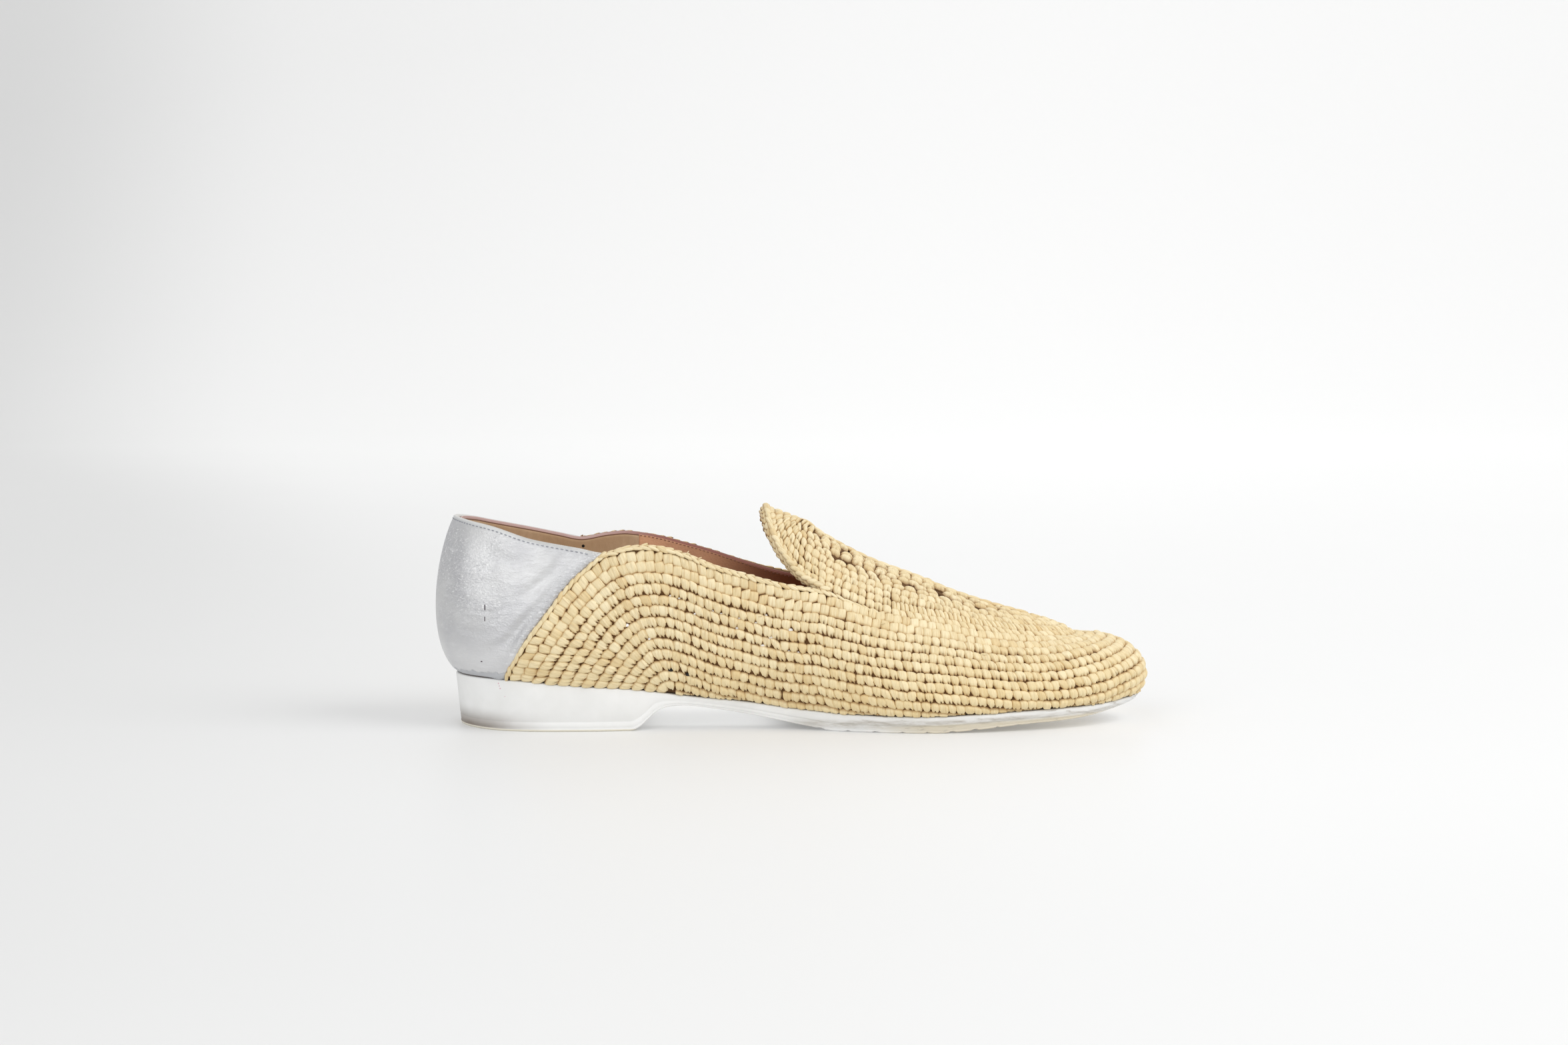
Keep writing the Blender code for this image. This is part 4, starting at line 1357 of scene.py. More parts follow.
def make_lining(leather, suede, thread):
    """Leather lining of the quarters, the suede grip over it and the stitch line of the rim."""
    back = RowMap(collar_ribs(LINING_FRONT_X, LINING_STATIONS))
    place = np.arange(len(back.length), dtype=float)
    rim = LATERAL_RIM + (MEDIAL_RIM - LATERAL_RIM) * smooth(*RIM_CHANGE, place / len(place))
    quarter, grip, seam = Mesh(), Mesh(), Mesh()
    near, far, edge = lining_faces(back, rim, *LINING_LAYER)
    thick_sheet(quarter, near, far, edge=edge)
    near, far, edge = lining_faces(back, rim, *GRIP_LAYER)
    behind = np.repeat(far[:-1, :1, 0] < GRIP_FRONT_X, LINING_ROWS - 1, axis=1)
    thick_sheet(grip, near, far, behind, edge=edge)
    make_piece("quarter_lining", quarter, leather)
    make_piece("heel_grip", grip, suede)
    offset, thick, _ = LINING_LAYER
    depth = rim + LINING_STITCH_DEPTH
    line = back.at(place, depth, -offset - thick - LINING_STITCH_PROUD)
    away = -back.normal(place, depth)
    for first, last in spans(line[:, 0] > GRIP_FRONT_X - LINING_STITCH_LAP):
        part = slice(first, last + 1)
        lay_dashes(seam, line[part], away[part], *LINING_STITCH)
    make_piece("lining_stitching", seam, thread)


# Sole

SOLE_STATIONS = 340
SOLE_ACROSS = 26
STEP_HEIGHT = 3.5
STEP_SHARE = 0.45
STEP_GROOVE = 0.18
# Inset below the step at the heel, and how much more it has at the forefoot
STEP_INSET = 0.06
STEP_INSET_FORE = 0.6
STEP_INSET_X = (-40.0, 10.0)
LIP_HEIGHT = 1.0
LIP_SHARE = 0.3
TREAD_PITCH = 8.6
TREAD_WIDTH = 1.7
TREAD_SLOPE = 0.6
TREAD_DEPTH = 0.9
TREAD_BEND = 6.0
TREAD_BEND_REACH = 13.0
# Where the tread of the forefoot and of the heel fades in and out along the shoe
TREAD_FORE = ((4.0, 10.0), (116.0, 110.0))
TREAD_HEEL = ((-62.0, -66.0), (-121.0, -116.0))
# The tread shows as scallops in the lowest rings of the forefoot's side
SCALLOP_RINGS = 3
SCALLOP_SHARE = 0.6
SCALLOP_X = ((0.0, 10.0), (90.0, 70.0))
HEEL_TAPER = 1.7
HEEL_TAPER_X = -104.0


def tread(x, y):
    """How far up a point of the underside lies in a groove of the tread."""
    phase = (x + TREAD_BEND * np.abs(np.sin(y / TREAD_BEND_REACH))) % TREAD_PITCH
    groove = smooth(TREAD_WIDTH, TREAD_WIDTH - TREAD_SLOPE, np.abs(phase - TREAD_PITCH / 2) * 2)
    ground = sum(smooth(*start, x) * smooth(*end, x) for start, end in (TREAD_FORE, TREAD_HEEL))
    return TREAD_DEPTH * groove * ground


def make_sole(finish):
    """The moulded sole: rings down its side, its seat, and an underside with a tread."""
    turn = np.linspace(0, math.pi, SOLE_STATIONS + 1)
    x = x_of(turn)
    top = feather_top(x)
    low = underside(x)
    step = low + np.minimum(STEP_HEIGHT, STEP_SHARE * (top - low))
    inset = STEP_INSET + STEP_INSET_FORE * smooth(*STEP_INSET_X, x)
    lip = np.minimum(LIP_HEIGHT, LIP_SHARE * (step - low))
    taper = HEEL_TAPER * smooth(HEEL_TAPER_X, HEEL_END, x)
    # How far in from the feather line and how high each ring runs
    rings = (
        (3.2, top),
        (0.62, top),
        (0.2, top - 0.16),
        (0.0, top - 0.6),
        (0.05, (top + step) / 2),
        (0.10, step + 0.4),
        (0.10 + STEP_GROOVE, step + 0.12),
        (0.10 + STEP_GROOVE + inset * 0.6, step - 0.12),
        (0.06 + inset, step - 0.35),
        (0.12 + inset, low + lip * 1.5),
        (0.32 + inset, low + lip * 1.15),
        (0.02 + inset, low + lip * 0.9),
        (0.04 + inset, low + lip * 0.35),
        (0.45 + inset, low),
    )
    loops = np.empty((len(rings), len(SIDES), len(x), 3))
    for i, (inwards, height) in enumerate(rings):
        for s, side in enumerate(SIDES):
            line = feather(side, turn, inwards + taper * np.clip((top - height) / (top - low), 0, 1))
            line[:, 2] = height
            share = (i - len(rings) + SCALLOP_RINGS + 1) / SCALLOP_RINGS
            if share > 0:
                start, end = SCALLOP_X
                lift = SCALLOP_SHARE * share * smooth(*start, x) * smooth(*end, x)
                line[:, 2] += lift * tread(line[:, 0], line[:, 1])
            loops[i, s] = line
    mesh = Mesh()
    faces = grid_faces(len(rings), len(x))
    mesh.add(loops[:, 0], faces[:, ::-1])
    mesh.add(loops[:, 1], faces)
    across = np.linspace(0, 1, SOLE_ACROSS + 1)[:, None, None]
    faces = grid_faces(SOLE_ACROSS + 1, len(x))
    floor = loops[-1, 0] * (1 - across) + loops[-1, 1] * across
    floor[1:-1, :, 2] = low + tread(floor[1:-1, :, 0], floor[1:-1, :, 1])
    mesh.add(floor, faces[:, ::-1])
    mesh.add(loops[0, 0] * (1 - across) + loops[0, 1] * across, faces)
    weld(make_piece("sole_unit", mesh, finish, ["sole"]))


# Sock

SOCK_STATIONS = 160
SOCK_ACROSS = 24
# How far the sock runs under the lining
SOCK_TUCK = 1.5
# Cupped edge, more at the heel, with a turn up against the lining
SOCK_CUP = 0.35
SOCK_HEEL_CUP = 0.9
SOCK_HEEL_X = (-20.0, -70.0)
SOCK_CUP_LEVEL = 0.45
SOCK_EDGE_RISE = 0.6
SOCK_EDGE = (0.90, 1.0)
# Hollow worn under the ball of the foot: place and reach
BALL_DEPTH = 0.35
BALL_X = (42, 26)
BALL_Y = (-2, 24)


def make_sock(finish):
    """The leather sock, cupped at its edges and a little hollow under the ball of the foot."""
    turn = np.linspace(0, math.pi, SOCK_STATIONS + 1)
    x = x_of(turn)
    across = np.linspace(-1, 1, SOCK_ACROSS + 1)[:, None]
    left = feather("medial", turn, INSOLE_INSET - SOCK_TUCK)
    right = feather("lateral", turn, INSOLE_INSET - SOCK_TUCK)
    share = ((across + 1) / 2)[..., None]
    plan = left * (1 - share) + right * share
    base = feather_top(x)[None] + GAP
    cup = SOCK_HEEL_CUP * smooth(*SOCK_HEEL_X, x)[None] + SOCK_CUP
    edge = np.abs(across)
    top = base + INSOLE_THICK + cup * (edge**3 - SOCK_CUP_LEVEL)
    top = top + SOCK_EDGE_RISE * smooth(*SOCK_EDGE, edge)
    along = (plan[..., 0] - BALL_X[0]) / BALL_X[1]
    aside = (plan[..., 1] - BALL_Y[0]) / BALL_Y[1]
    upper = plan.copy()
    upper[..., 2] = top - BALL_DEPTH * np.exp(-(along**2) - aside**2)
    lower = plan.copy()
    lower[..., 2] = base
    mesh = Mesh()
    thick_sheet(mesh, upper, lower)
    weld(make_piece("sock", mesh, finish, ["insole"]))


# Finishes


class Value:
    """An output of a finish's node. Arithmetic with it adds Math nodes."""

    def __init__(self, finish, socket):
        self.finish = finish
        self.socket = socket

    def math(self, operation, *inputs):
        return self.finish.node("ShaderNodeMath", {"operation": operation}, dict(enumerate(inputs)))

    def __add__(self, other):
        return self.math("ADD", self, other)

    def __radd__(self, other):
        return self.math("ADD", other, self)

    def __sub__(self, other):
        return self.math("SUBTRACT", self, other)

    def __rsub__(self, other):
        return self.math("SUBTRACT", other, self)

    def __mul__(self, other):
        return self.math("MULTIPLY", self, other)

    def __rmul__(self, other):
        return self.math("MULTIPLY", other, self)

    def __abs__(self):
        return self.math("ABSOLUTE", self)


# Sockets of a Mix node that are for colours
MIX_SHARE = 0
MIX_FIRST = 6
MIX_SECOND = 7
MIX_RESULT = 2


class Finish:
    """A material in the making."""

    def __init__(self, name, **constants):
        self.material = bpy.data.materials.new(name)
        self.material.use_nodes = True
        self.tree = self.material.node_tree
        self.surface = self.tree.nodes["Principled BSDF"]
        self.shade(**constants)

    def feed(self, socket, value):
        if isinstance(value, Value):
            self.tree.links.new(value.socket, socket)
        elif isinstance(value, tuple) and socket.type == "RGBA":
            socket.default_value = (*value, 1.0)
        else:
            socket.default_value = value

    def node(self, kind, settings, sockets, output=0):
        """Any node: its settings first, then the values or links of its sockets."""
        made = self.tree.nodes.new(kind)
        for name, value in settings.items():
            setattr(made, name, value)
        for name, value in sockets.items():
            self.feed(made.inputs[name], value)
        return Value(self, made.outputs[output])

    def shade(self, **sockets):
        """Sets sockets of the surface's shader and returns the material."""
        for socket, value in sockets.items():
            self.feed(self.surface.inputs[socket.replace("_", " ")], value)
        return self.material

    def place(self):
        return self.node("ShaderNodeTexCoord", {}, {}, "Object")

    def axes(self):
        """The x, y and z of the place in the frame, in metres."""
        split = self.node("ShaderNodeSeparateXYZ", {}, {0: self.place()})
        return [Value(self, output) for output in split.socket.node.outputs]

    def grain(self, scale, detail=3.0, rough=0.55, where=None, stretch=None):
        """Noise from 0 to 1 at a scale per metre."""
        where = where or self.place()
        if stretch:
            where = self.node("ShaderNodeVectorMath", {"operation": "MULTIPLY"}, {0: where, 1: stretch})
        sockets = {"Vector": where, "Scale": scale, "Detail": detail, "Roughness": rough}
        return self.node("ShaderNodeTexNoise", {}, sockets, "Fac")

    def cells(self, scale):
        """Distance from the middle of small cells, at a scale per metre."""
        sockets = {"Vector": self.place(), "Scale": scale}
        return self.node("ShaderNodeTexVoronoi", {}, sockets, "Distance")

    def held(self, name, output="Fac"):
        """A value that the mesh carries at its points."""
        return self.node("ShaderNodeAttribute", {"attribute_name": name}, {}, output)

    def step(self, value, low, high, start=0.0, end=1.0):
        """Soft step from start to end as a value goes from low to high."""
        sockets = {"Value": value, "From Min": low, "From Max": high, "To Min": start, "To Max": end}
        return self.node("ShaderNodeMapRange", {"interpolation_type": "SMOOTHSTEP"}, sockets)

    def mix(self, share, first, second):
        """A colour between two others."""
        sockets = {MIX_SHARE: share, MIX_FIRST: first, MIX_SECOND: second}
        return self.node("ShaderNodeMix", {"data_type": "RGBA"}, sockets, MIX_RESULT)

    def spot(self, x, z, place, outer, inner):
        """A round spot in side view, in millimetres, with the squares of its reach and of its core."""
        aside = x - (place[0] - PLAN_CENTRE[0]) * MM
        above = z - place[1] * MM
        return self.step(aside * aside + above * above, outer * MM**2, inner * MM**2)

    def bump(self, height, distance, strength=1.0, under=None):
        """Normal over a height in metres, on top of another normal if there is one."""
        sockets = {"Height": height, "Distance": distance, "Strength": strength}
        if under:
            sockets["Normal"] = under
        return self.node("ShaderNodeBump", {}, sockets)


STRAW = dict(
    pale=(0.875, 0.755, 0.50),
    grain=(0.715, 0.558, 0.303),
    patch=(0.80, 0.64, 0.36),
    # painted shade for the raffia near the sole
    low=(0.80, 0.61, 0.29),
    odd=(0.74, 0.52, 0.25),
    fold=(0.58, 0.39, 0.18),
    crease_shade=(0.48, 0.28, 0.11),
    gap=(0.17, 0.075, 0.025),
)
# Stretch of the grain across a strand, along it and from strand to strand
STRAW_LINES = (2600.0 * MM, 260.0 * MM, 1.0)
STRAW_FOLDS = (1000.0 * MM, 130.0 * MM, 1.0)


def make_raffia():
    """Raffia with fine lines along its strands, folds, odd strands, painted shade in the creases and
    notches between stitches and a warmer painted shade near the sole.
    """
    straw = Finish("raffia straw", Specular_IOR_Level=0.35)
    crown = straw.held("crown")
    tint = straw.held("tint")
    fibre = straw.held("fibre", "Vector")
    lines = straw.grain(1.0, 3.0, 0.6, fibre, STRAW_LINES)
    folds = straw.grain(1.0, 1.5, 0.5, fibre, STRAW_FOLDS)
    broad = straw.grain(55.0, 2.0)
    _, _, z = straw.axes()
    dye = straw.mix(straw.step(lines + 0.10 * tint, 0.25, 0.85), STRAW["pale"], STRAW["grain"])
    dye = straw.mix(straw.step(broad, 0.35, 0.75, 0.0, 0.35), dye, STRAW["patch"])
    # Painted shade: the raffia near the sole is tinted deeper, for the light that falls there
    dye = straw.mix(straw.step(z, 0.034, 0.006) * 0.3, dye, STRAW["low"])
    dye = straw.mix(straw.step(tint, 0.9, 2.4, 0.0, 0.25), dye, STRAW["odd"])
    dye = straw.mix(straw.step(folds, 0.42, 0.30, 0.0, 0.40), dye, STRAW["fold"])
    # Painted shade: the creases between stitches and the notches at their lower corners, where the crown
    # is low, are darkened
    dye = straw.mix(straw.step(crown, 0.85, 0.30, 0.0, 0.62), dye, STRAW["crease_shade"])
    dye = straw.mix(straw.step(crown, 0.40, 0.10), dye, STRAW["gap"])
    normal = straw.bump(folds, 0.0009, 0.6)
    normal = straw.bump(lines, 0.00022, 0.5, normal)
    return straw.shade(Base_Color=dye, Roughness=0.46 + 0.25 * lines, Normal=normal)


# Painted shade: the backing is near black brown so that the gaps between stitches read as shade
BACKING_SHADE_DARK = (0.09, 0.042, 0.015)
BACKING_SHADE_LIGHT = (0.18, 0.095, 0.038)


def make_raffia_backing():
    """The inside of the crochet, painted dark for the shade in its gaps."""
    dark = Finish("raffia inside in painted shade", Roughness=0.8, Specular_IOR_Level=0.2)
    weave = dark.grain(900.0, 3.0)
    dye = dark.mix(weave, BACKING_SHADE_DARK, BACKING_SHADE_LIGHT)
    return dark.shade(Base_Color=dye, Normal=dark.bump(weave, 0.0003, 0.6))


FOIL = dict(
    light=(0.66, 0.66, 0.66),
    shade=(0.58, 0.58, 0.595),
    # painted highlight of the crinkle streaks
    streak=(0.84, 0.84, 0.85),
    # painted shade beside the raffia
    beside=(0.49, 0.49, 0.50),
    sheen=(0.95, 0.95, 0.95),
    # painted light for the lower foil
    low=(0.88, 0.88, 0.88),
    glint=(1.0, 1.0, 1.0),
    pit_shade=(0.42, 0.42, 0.46),
    strip=(0.58, 0.59, 0.61),
    rim=(0.70, 0.71, 0.71),
    raw=(0.68, 0.67, 0.64),
    mark=(0.08, 0.06, 0.07),
)
# Two short cuts and a spot on the medial side of the back: x, lower and upper end, half width
FOIL_MARKS = (
    (-111.8, 43.6, 45.9, 0.26),
    (-111.85, 39.7, 41.6, 0.22),
    (-113.2, 24.8, 25.3, 0.42),
)


def foil_marks(foil, x, y, z):
    """Mask of the marks on the medial side."""
    inner = foil.step(y, 0.0, -0.004)
    total = 0.0
    for mark_x, low, high, half in FOIL_MARKS:
        tall = high - low
        beside = foil.step(abs(x - (mark_x - PLAN_CENTRE[0]) * MM), half * MM, 0.5 * half * MM)
        between = foil.step(abs(z - (low + high) / 2 * MM), tall / 2 * MM, tall / 2.6 * MM)
        total = beside * between * inner + total
    return total


def make_foil_finish():
    """Silver foil over leather: crinkled, with painted glints and a painted sheen at the back, painted
    highlights on its streaks, painted shade in its crinkle pits and beside the raffia, and painted light
    low down.
    """
    foil = Finish("foil leather", Specular_IOR_Level=0.5)
    x, y, z = foil.axes()
    crackle = foil.grain(1500.0, 4.0, 0.65)
    cloud = foil.grain(60.0, 3.0)
    streak = foil.grain(240.0, 3.0, 0.6, None, (0.5, 0.5, 1.7))
    ragged = foil.grain(300.0, 2.0)
    glints = foil.grain(1350.0, 3.0, 0.6, None, (0.6, 0.6, 1.25))
    beside = foil.held("beside")
    rim = foil.held("rim")
    soft = x + 0.006 * (cloud - 0.5)
    rear = foil.step(soft, -0.094, -0.112) * foil.step(z, 0.030, 0.048) * foil.step(z, 0.0745, 0.071)
    lively = rear * foil.step(cloud, 0.35, 0.6, 0.25, 1.0) + beside * foil.step(z, 0.026, 0.034)
    sheen = foil.step(abs(soft + 0.1140), 0.0070, 0.0010) * foil.step(abs(z - 0.057), 0.017, 0.005)
    strip = foil.step(z + 0.003 * (ragged - 0.5), 0.0213, 0.0207)
    marks = foil_marks(foil, x, y, z)
    dye = foil.mix(foil.step(cloud, 0.3, 0.7), FOIL["light"], FOIL["shade"])
    # Painted highlights: the crinkle streaks are lightened
    dye = foil.mix(foil.step(streak, 0.5, 0.75, 0.0, 0.35), dye, FOIL["streak"])
    # Painted shade: the foil is darker near its edge under the raffia
    dye = foil.mix(beside * 0.65, dye, FOIL["beside"])
    dye = foil.mix(sheen * 0.45, dye, FOIL["sheen"])
    # Painted light: the lower foil, which faces down, is lightened
    dye = foil.mix(foil.step(z, 0.036, 0.025, 0.0, 0.45), dye, FOIL["low"])
    dye = foil.mix(foil.step(glints, 0.55, 0.70) * lively * 0.75, dye, FOIL["glint"])
    # Painted shade in the crinkle pits beside the glints
    dye = foil.mix(foil.step(glints, 0.44, 0.32) * lively * 0.4, dye, FOIL["pit_shade"])
    dye = foil.mix(strip, dye, FOIL["strip"])
    dye = foil.mix(rim * 0.8, dye, FOIL["rim"])
    dye = foil.mix(foil.held("raw"), dye, FOIL["raw"])
    dye = foil.mix(marks, dye, FOIL["mark"])
    flat = 1 - 0.75 * strip
    rough = 0.34 + 0.16 * crackle + 0.10 * cloud + 0.12 * strip + 0.15 * rim
    metal = 0.72 - 0.35 * rim - 0.3 * marks
    normal = foil.bump(crackle * flat, 0.00035, 0.45)
    normal = foil.bump(glints * lively, 0.0007, 0.65, normal)
    normal = foil.bump(streak * flat, 0.0009, 0.35, normal)
    return foil.shade(Base_Color=dye, Roughness=rough, Metallic=metal, Normal=normal)


SUEDE = dict(
    dark=(0.48, 0.32, 0.19),
    light=(0.66, 0.47, 0.30),
    patch=(0.44, 0.28, 0.15),
    edge=(0.15, 0.07, 0.045),
    spot=(0.01, 0.008, 0.006),
)
# Dark spot on the lateral side: x and z, then the squares of its reach and of its core
SUEDE_SPOT = ((-77.3, 61.8), 0.45, 0.25)


def make_suede():
    """Tan suede with a nap, a dark edge and one dark spot."""
    suede = Finish("tan suede", Specular_IOR_Level=0.15, Sheen_Weight=0.3, Sheen_Roughness=0.5)
    x, y, z = suede.axes()
    nap = suede.grain(700.0, 4.0, 0.7, None, (1.0, 1.0, 0.45))
    broad = suede.grain(60.0, 2.0)
    dye = suede.mix(nap, SUEDE["dark"], SUEDE["light"])
    dye = suede.mix(suede.step(broad, 0.35, 0.7, 0.0, 0.5), dye, SUEDE["patch"])
    dye = suede.mix(suede.step(suede.held("edge"), 1.35, 1.05), dye, SUEDE["edge"])
    dye = suede.mix(suede.spot(x, z, *SUEDE_SPOT) * suede.step(y, 0.0, 0.004), dye, SUEDE["spot"])
    return suede.shade(Base_Color=dye, Roughness=0.82 + 0.12 * nap, Normal=suede.bump(nap, 0.0003, 0.5))


# The lining's tones; the darker front is partly painted shade
HIDE = dict(
    rear=(0.84, 0.47, 0.28),
    front=(0.20, 0.058, 0.021),
    patch=(0.34, 0.155, 0.09),
    rim_rear=(0.58, 0.40, 0.37),
    rim_front=(0.33, 0.13, 0.10),
)


def make_lining_leather():
    """Lining leather, pale by the heel and dark inside the vamp, partly its own tone and partly painted
    shade, with a band of its own at the rim.
    """
    hide = Finish("lining leather", Specular_IOR_Level=0.4)
    x, _, _ = hide.axes()
    pores = hide.cells(1400.0)
    broad = hide.grain(45.0, 3.0)
    # Partly the leather's own tone and partly painted shade: the lining darkens towards the front,
    # inside the vamp, where little light falls. The rim band darkens the same way.
    dye = hide.mix(hide.step(x, -0.044, -0.003), HIDE["rear"], HIDE["front"])
    dye = hide.mix(hide.step(broad, 0.3, 0.75, 0.0, 0.4), dye, HIDE["patch"])
    rim = hide.mix(hide.step(x, -0.075, -0.045), HIDE["rim_rear"], HIDE["rim_front"])
    dye = hide.mix(hide.step(hide.held("edge"), 0.95, 0.70), dye, rim)
    return hide.shade(Base_Color=dye, Roughness=0.42 + 0.2 * broad, Normal=hide.bump(pores, 0.0002, 0.3))


SOCK = dict(light=(0.52, 0.33, 0.20), dark=(0.43, 0.26, 0.15), worn=(0.30, 0.17, 0.095))


def make_sock_leather():
    """Sock leather, worn darker under the heel."""
    sock = Finish("sock leather", Specular_IOR_Level=0.35)
    x, y, _ = sock.axes()
    pores = sock.cells(1300.0)
    broad = sock.grain(38.0, 3.0)
    dye = sock.mix(sock.step(broad, 0.3, 0.7), SOCK["light"], SOCK["dark"])
    heel = sock.step(abs(x + 0.088), 0.034, 0.012) * sock.step(abs(y), 0.022, 0.008)
    dye = sock.mix(heel * 0.35, dye, SOCK["worn"])
    normal = sock.bump(pores, 0.00025, 0.35)
    return sock.shade(Base_Color=dye, Roughness=0.5 + 0.2 * broad, Normal=normal)


RUBBER = dict(
    light=(0.86, 0.86, 0.85),
    dull=(0.80, 0.80, 0.785),
    grime=(0.21, 0.165, 0.13),
    smear=(0.50, 0.47, 0.42),
    under=(0.66, 0.58, 0.42),
    scuff=(0.40, 0.36, 0.31),
    lip=(0.78, 0.74, 0.63),
    speck=(0.62, 0.22, 0.34),
)
# Small purplish marks on the medial side of the heel: x, z and reach
SOLE_SPECKS = ((-107.2, 17.1, 0.34), (-106.9, 16.2, 0.26), (-106.6, 15.3, 0.34), (-104.9, 12.5, 0.2))


def make_rubber():
    """White rubber with grime at the heel, smears and scuffs along the forefoot and a few specks."""
    rubber = Finish("white rubber", Specular_IOR_Level=0.4)
    x, y, z = rubber.axes()
    fine = rubber.grain(900.0, 3.0)
    broad = rubber.grain(60.0, 3.0)
    streak = rubber.grain(420.0, 4.0, 0.65, None, (0.25, 0.25, 1.6))
    dye = rubber.mix(rubber.step(broad, 0.3, 0.7), RUBBER["light"], RUBBER["dull"])
    grime = rubber.step(z, 0.0085, 0.0) * rubber.step(x, -0.084, -0.119)
    dye = rubber.mix(grime * rubber.step(broad, 0.2, 0.7, 0.75, 1.0), dye, RUBBER["grime"])
    smear = rubber.step(abs(z - 0.028 * x - 0.0022), 0.0022, 0.0004) * rubber.step(x, -0.015, 0.012)
    dye = rubber.mix(smear * rubber.step(streak, 0.35, 0.62, 0.25, 0.85), dye, RUBBER["smear"])
    under = rubber.step(z - 0.035 * x, 0.0020, 0.0006) * rubber.step(x, 0.02, 0.05)
    dye = rubber.mix(under * 0.75, dye, RUBBER["under"])
    scuff = rubber.step(streak, 0.57, 0.68) * rubber.step(x, 0.005, 0.035)
    dye = rubber.mix(scuff * 0.6, dye, RUBBER["scuff"])
    lip = rubber.step(z, 0.0009, 0.0006) * rubber.step(x, -0.05, -0.058)
    dye = rubber.mix(lip, dye, RUBBER["lip"])
    inner = rubber.step(y, 0.0, -0.004)
    for speck_x, speck_z, reach in SOLE_SPECKS:
        speck = rubber.spot(x, z, (speck_x, speck_z), reach**2, (0.5 * reach) ** 2)
        dye = rubber.mix(speck * inner * 0.55, dye, RUBBER["speck"])
    normal = rubber.bump(fine, 0.00012, 0.25)
    return rubber.shade(Base_Color=dye, Roughness=0.38 + 0.2 * broad, Normal=normal)


def make_thread(name, light, dark):
    """Twisted thread, or pinhole specks and dark beads made like it, between two shades."""
    thread = Finish(name, Roughness=0.7)
    twist = thread.grain(4000.0, 2.0)
    dye = thread.mix(twist, light, dark)
    return thread.shade(Base_Color=dye, Normal=thread.bump(twist, 0.0001, 0.5))


# Studio

CAMERA_PLACE = (-58.6, -1216.0, 179.1)
CAMERA_TURN = (85.0, 0.0, -2.6)
CAMERA_LENS = 76.53
SENSOR_WIDTH = 36.0
WORLD_COLOUR = (0.99, 0.995, 1.0, 1.0)
WORLD_STRENGTH = 0.70
# Name, place, aim, size in metres, power in watts
LIGHTS = (
    ("key", (1.3, -0.6, 1.2), (0.0, 0.0, 0.03), 1.4, 15.0),
    ("front_fill", (-0.9, -1.5, 0.9), (0.0, 0.0, 0.03), 1.4, 9.0),
    ("rear", (-0.4, 1.3, 1.3), (0.0, 0.0, 0.0), 1.6, 3.0),
)
# The sweep in metres: half width, front end, start and radius of its bend, height
SWEEP_HALF_WIDTH = 3.0
SWEEP_FRONT = -2.5
SWEEP_BEND_START = 1.6
SWEEP_BEND = 0.8
SWEEP_TOP = 3.5
SWEEP_STEPS = 17
PAPER = (0.68, 0.68, 0.675)
BLACK = (0.0, 0.0, 0.0)
WHITE = (1.0, 1.0, 1.0)


def make_paper():
    """Pale paper with a soft glow that fades to one side and lies under the arch and the toe."""
    paper = Finish("studio paper", Base_Color=PAPER, Specular_IOR_Level=0.12, Emission_Strength=1.0)
    mottle = paper.grain(6.0, 2.0)
    x, y, _ = paper.axes()
    far = paper.step(y, -0.1, 1.9)
    aside = x - 0.62 * (x * far)
    glow = 0.03 + paper.step(y, -0.42, -0.1, 0.0, 0.03) + paper.step(aside, -0.36, 0.16, 0.0, 0.12)
    glow = glow + far * paper.step(aside, -0.27, -0.14, 0.05, 0.17)
    between = paper.step(y, -0.024, -0.012) * paper.step(y, 0.08, 0.04)
    arch = paper.step(abs(x + 0.031), 0.034, 0.016) * between
    toe = paper.step(x, 0.07, 0.105) * paper.step(x, 0.135, 0.108) * paper.step(abs(y), 0.07, 0.0)
    glow = glow + 0.22 * arch + 0.12 * toe
    return paper.shade(Roughness=0.40 + 0.06 * mottle, Emission_Color=paper.mix(glow, BLACK, WHITE))


def make_sweep():
    """The floor, which bends up into the wall behind."""
    bend = np.linspace(0, math.pi / 2, SWEEP_STEPS)
    profile = [(SWEEP_FRONT, 0.0)]
    for t in bend:
        y = SWEEP_BEND_START + SWEEP_BEND * math.sin(t)
        profile.append((y, SWEEP_BEND - SWEEP_BEND * math.cos(t)))
    profile.append((SWEEP_BEND_START + SWEEP_BEND, SWEEP_TOP))
    points = [(x, y, z) for y, z in profile for x in (-SWEEP_HALF_WIDTH, SWEEP_HALF_WIDTH)]
    faces = [(2 * i, 2 * i + 1, 2 * i + 3, 2 * i + 2) for i in range(len(profile) - 1)]
    data = bpy.data.meshes.new("sweep")
    data.from_pydata(points, [], faces)
    data.shade_smooth()
    data.materials.append(make_paper())
    sweep = bpy.data.objects.new("sweep", data)
    bpy.context.scene.collection.objects.link(sweep)


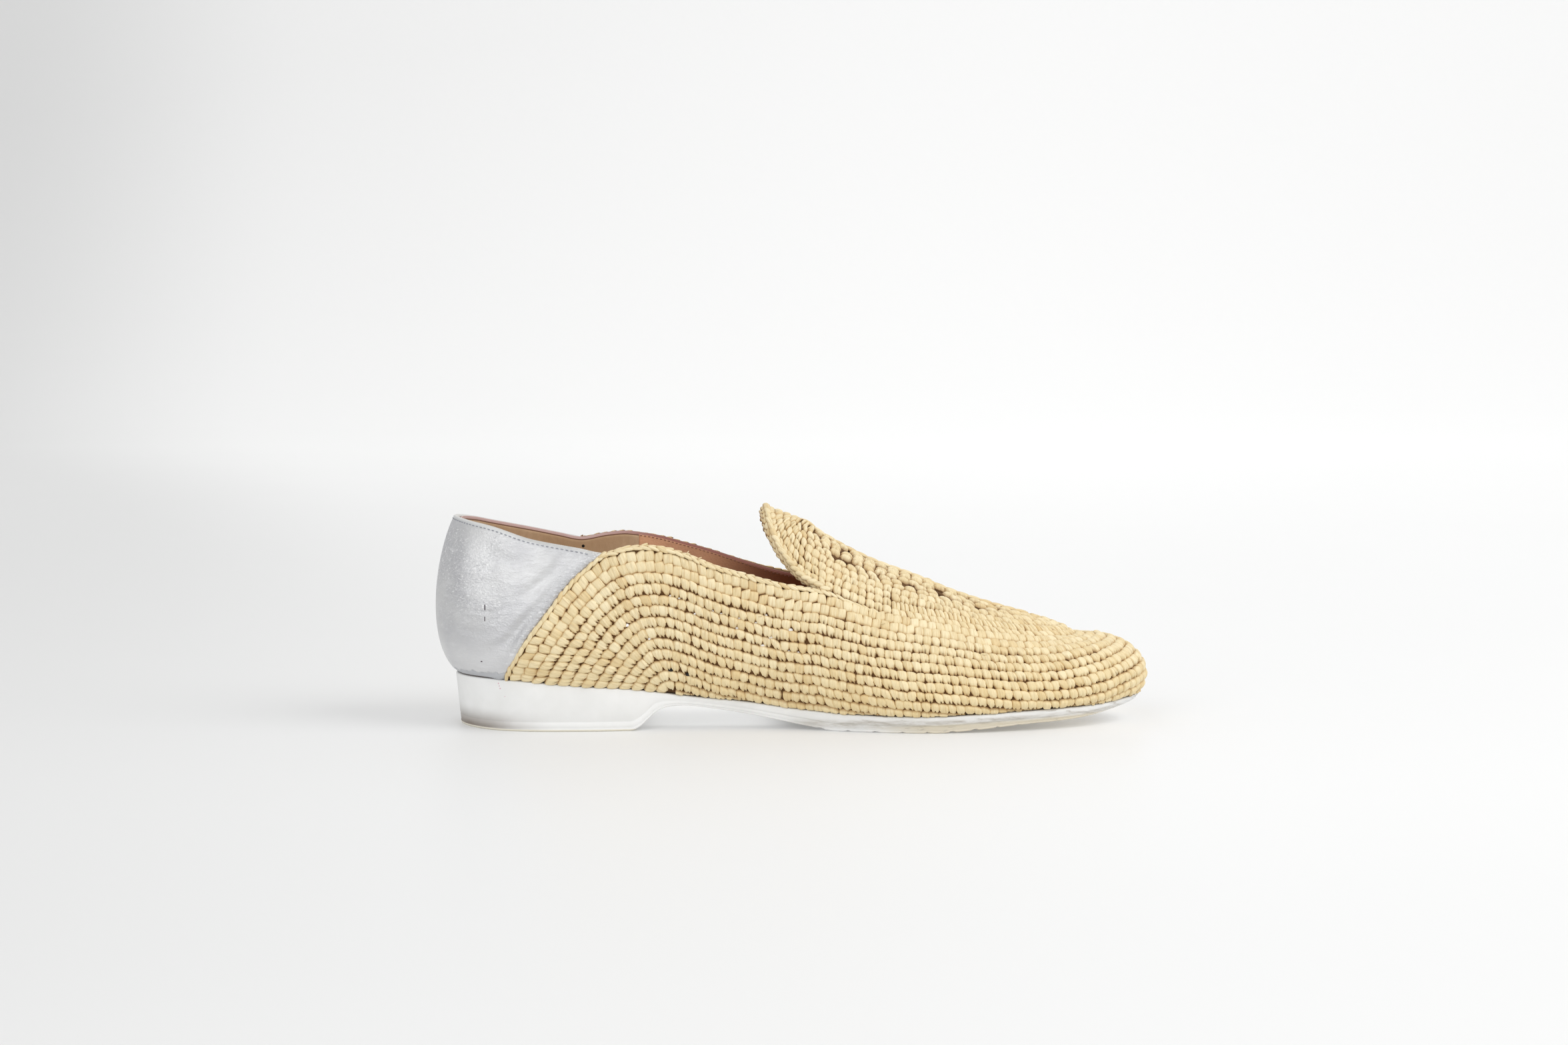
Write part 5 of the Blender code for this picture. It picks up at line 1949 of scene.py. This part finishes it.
def make_lights():
    """Soft light from all round and three round soft lamps."""
    world = bpy.data.worlds.new("studio")
    world.use_nodes = True
    world.node_tree.nodes["Background"].inputs["Color"].default_value = WORLD_COLOUR
    world.node_tree.nodes["Background"].inputs["Strength"].default_value = WORLD_STRENGTH
    bpy.context.scene.world = world
    for name, place, aim, size, power in LIGHTS:
        lamp = bpy.data.lights.new(name, "AREA")
        lamp.shape = "DISK"
        lamp.size = size
        lamp.energy = power
        holder = bpy.data.objects.new(name, lamp)
        holder.location = place
        holder.rotation_mode = "QUATERNION"
        holder.rotation_quaternion = (Vector(aim) - Vector(place)).to_track_quat("-Z", "Y")
        bpy.context.scene.collection.objects.link(holder)


def make_camera():
    """The camera of the photograph."""
    lens = bpy.data.cameras.new("photograph")
    lens.lens = CAMERA_LENS
    lens.sensor_width = SENSOR_WIDTH
    lens.sensor_fit = "HORIZONTAL"
    camera = bpy.data.objects.new("photograph", lens)
    camera.location = (Vector(CAMERA_PLACE) - Vector(PLAN_CENTRE)) * MM
    camera.rotation_euler = [math.radians(angle) for angle in CAMERA_TURN]
    bpy.context.scene.collection.objects.link(camera)
    bpy.context.scene.camera = camera


# Making of the scene

PINHOLE_SPECKS = ((0.98, 0.98, 0.98), (0.90, 0.90, 0.90))
SHADOW = ((0.012, 0.008, 0.005), (0.006, 0.004, 0.003))
GREY_THREAD = ((0.36, 0.37, 0.40), (0.24, 0.25, 0.28))
BROWN_THREAD = ((0.30, 0.13, 0.09), (0.18, 0.07, 0.05))

bpy.context.scene.view_settings.view_transform = "Standard"
make_sweep()
make_lights()
make_camera()
raffia = make_raffia()
make_side_rows(raffia)
make_plug_rows(raffia)
make_chains(raffia)
make_pinholes(make_thread("pinhole specks", *PINHOLE_SPECKS), make_thread("shadow in the gaps", *SHADOW), raffia)
make_backing(make_raffia_backing())
make_foil(make_foil_finish(), make_thread("grey thread", *GREY_THREAD))
make_lining(make_lining_leather(), make_suede(), make_thread("brown thread", *BROWN_THREAD))
make_sole(make_rubber())
make_sock(make_sock_leather())
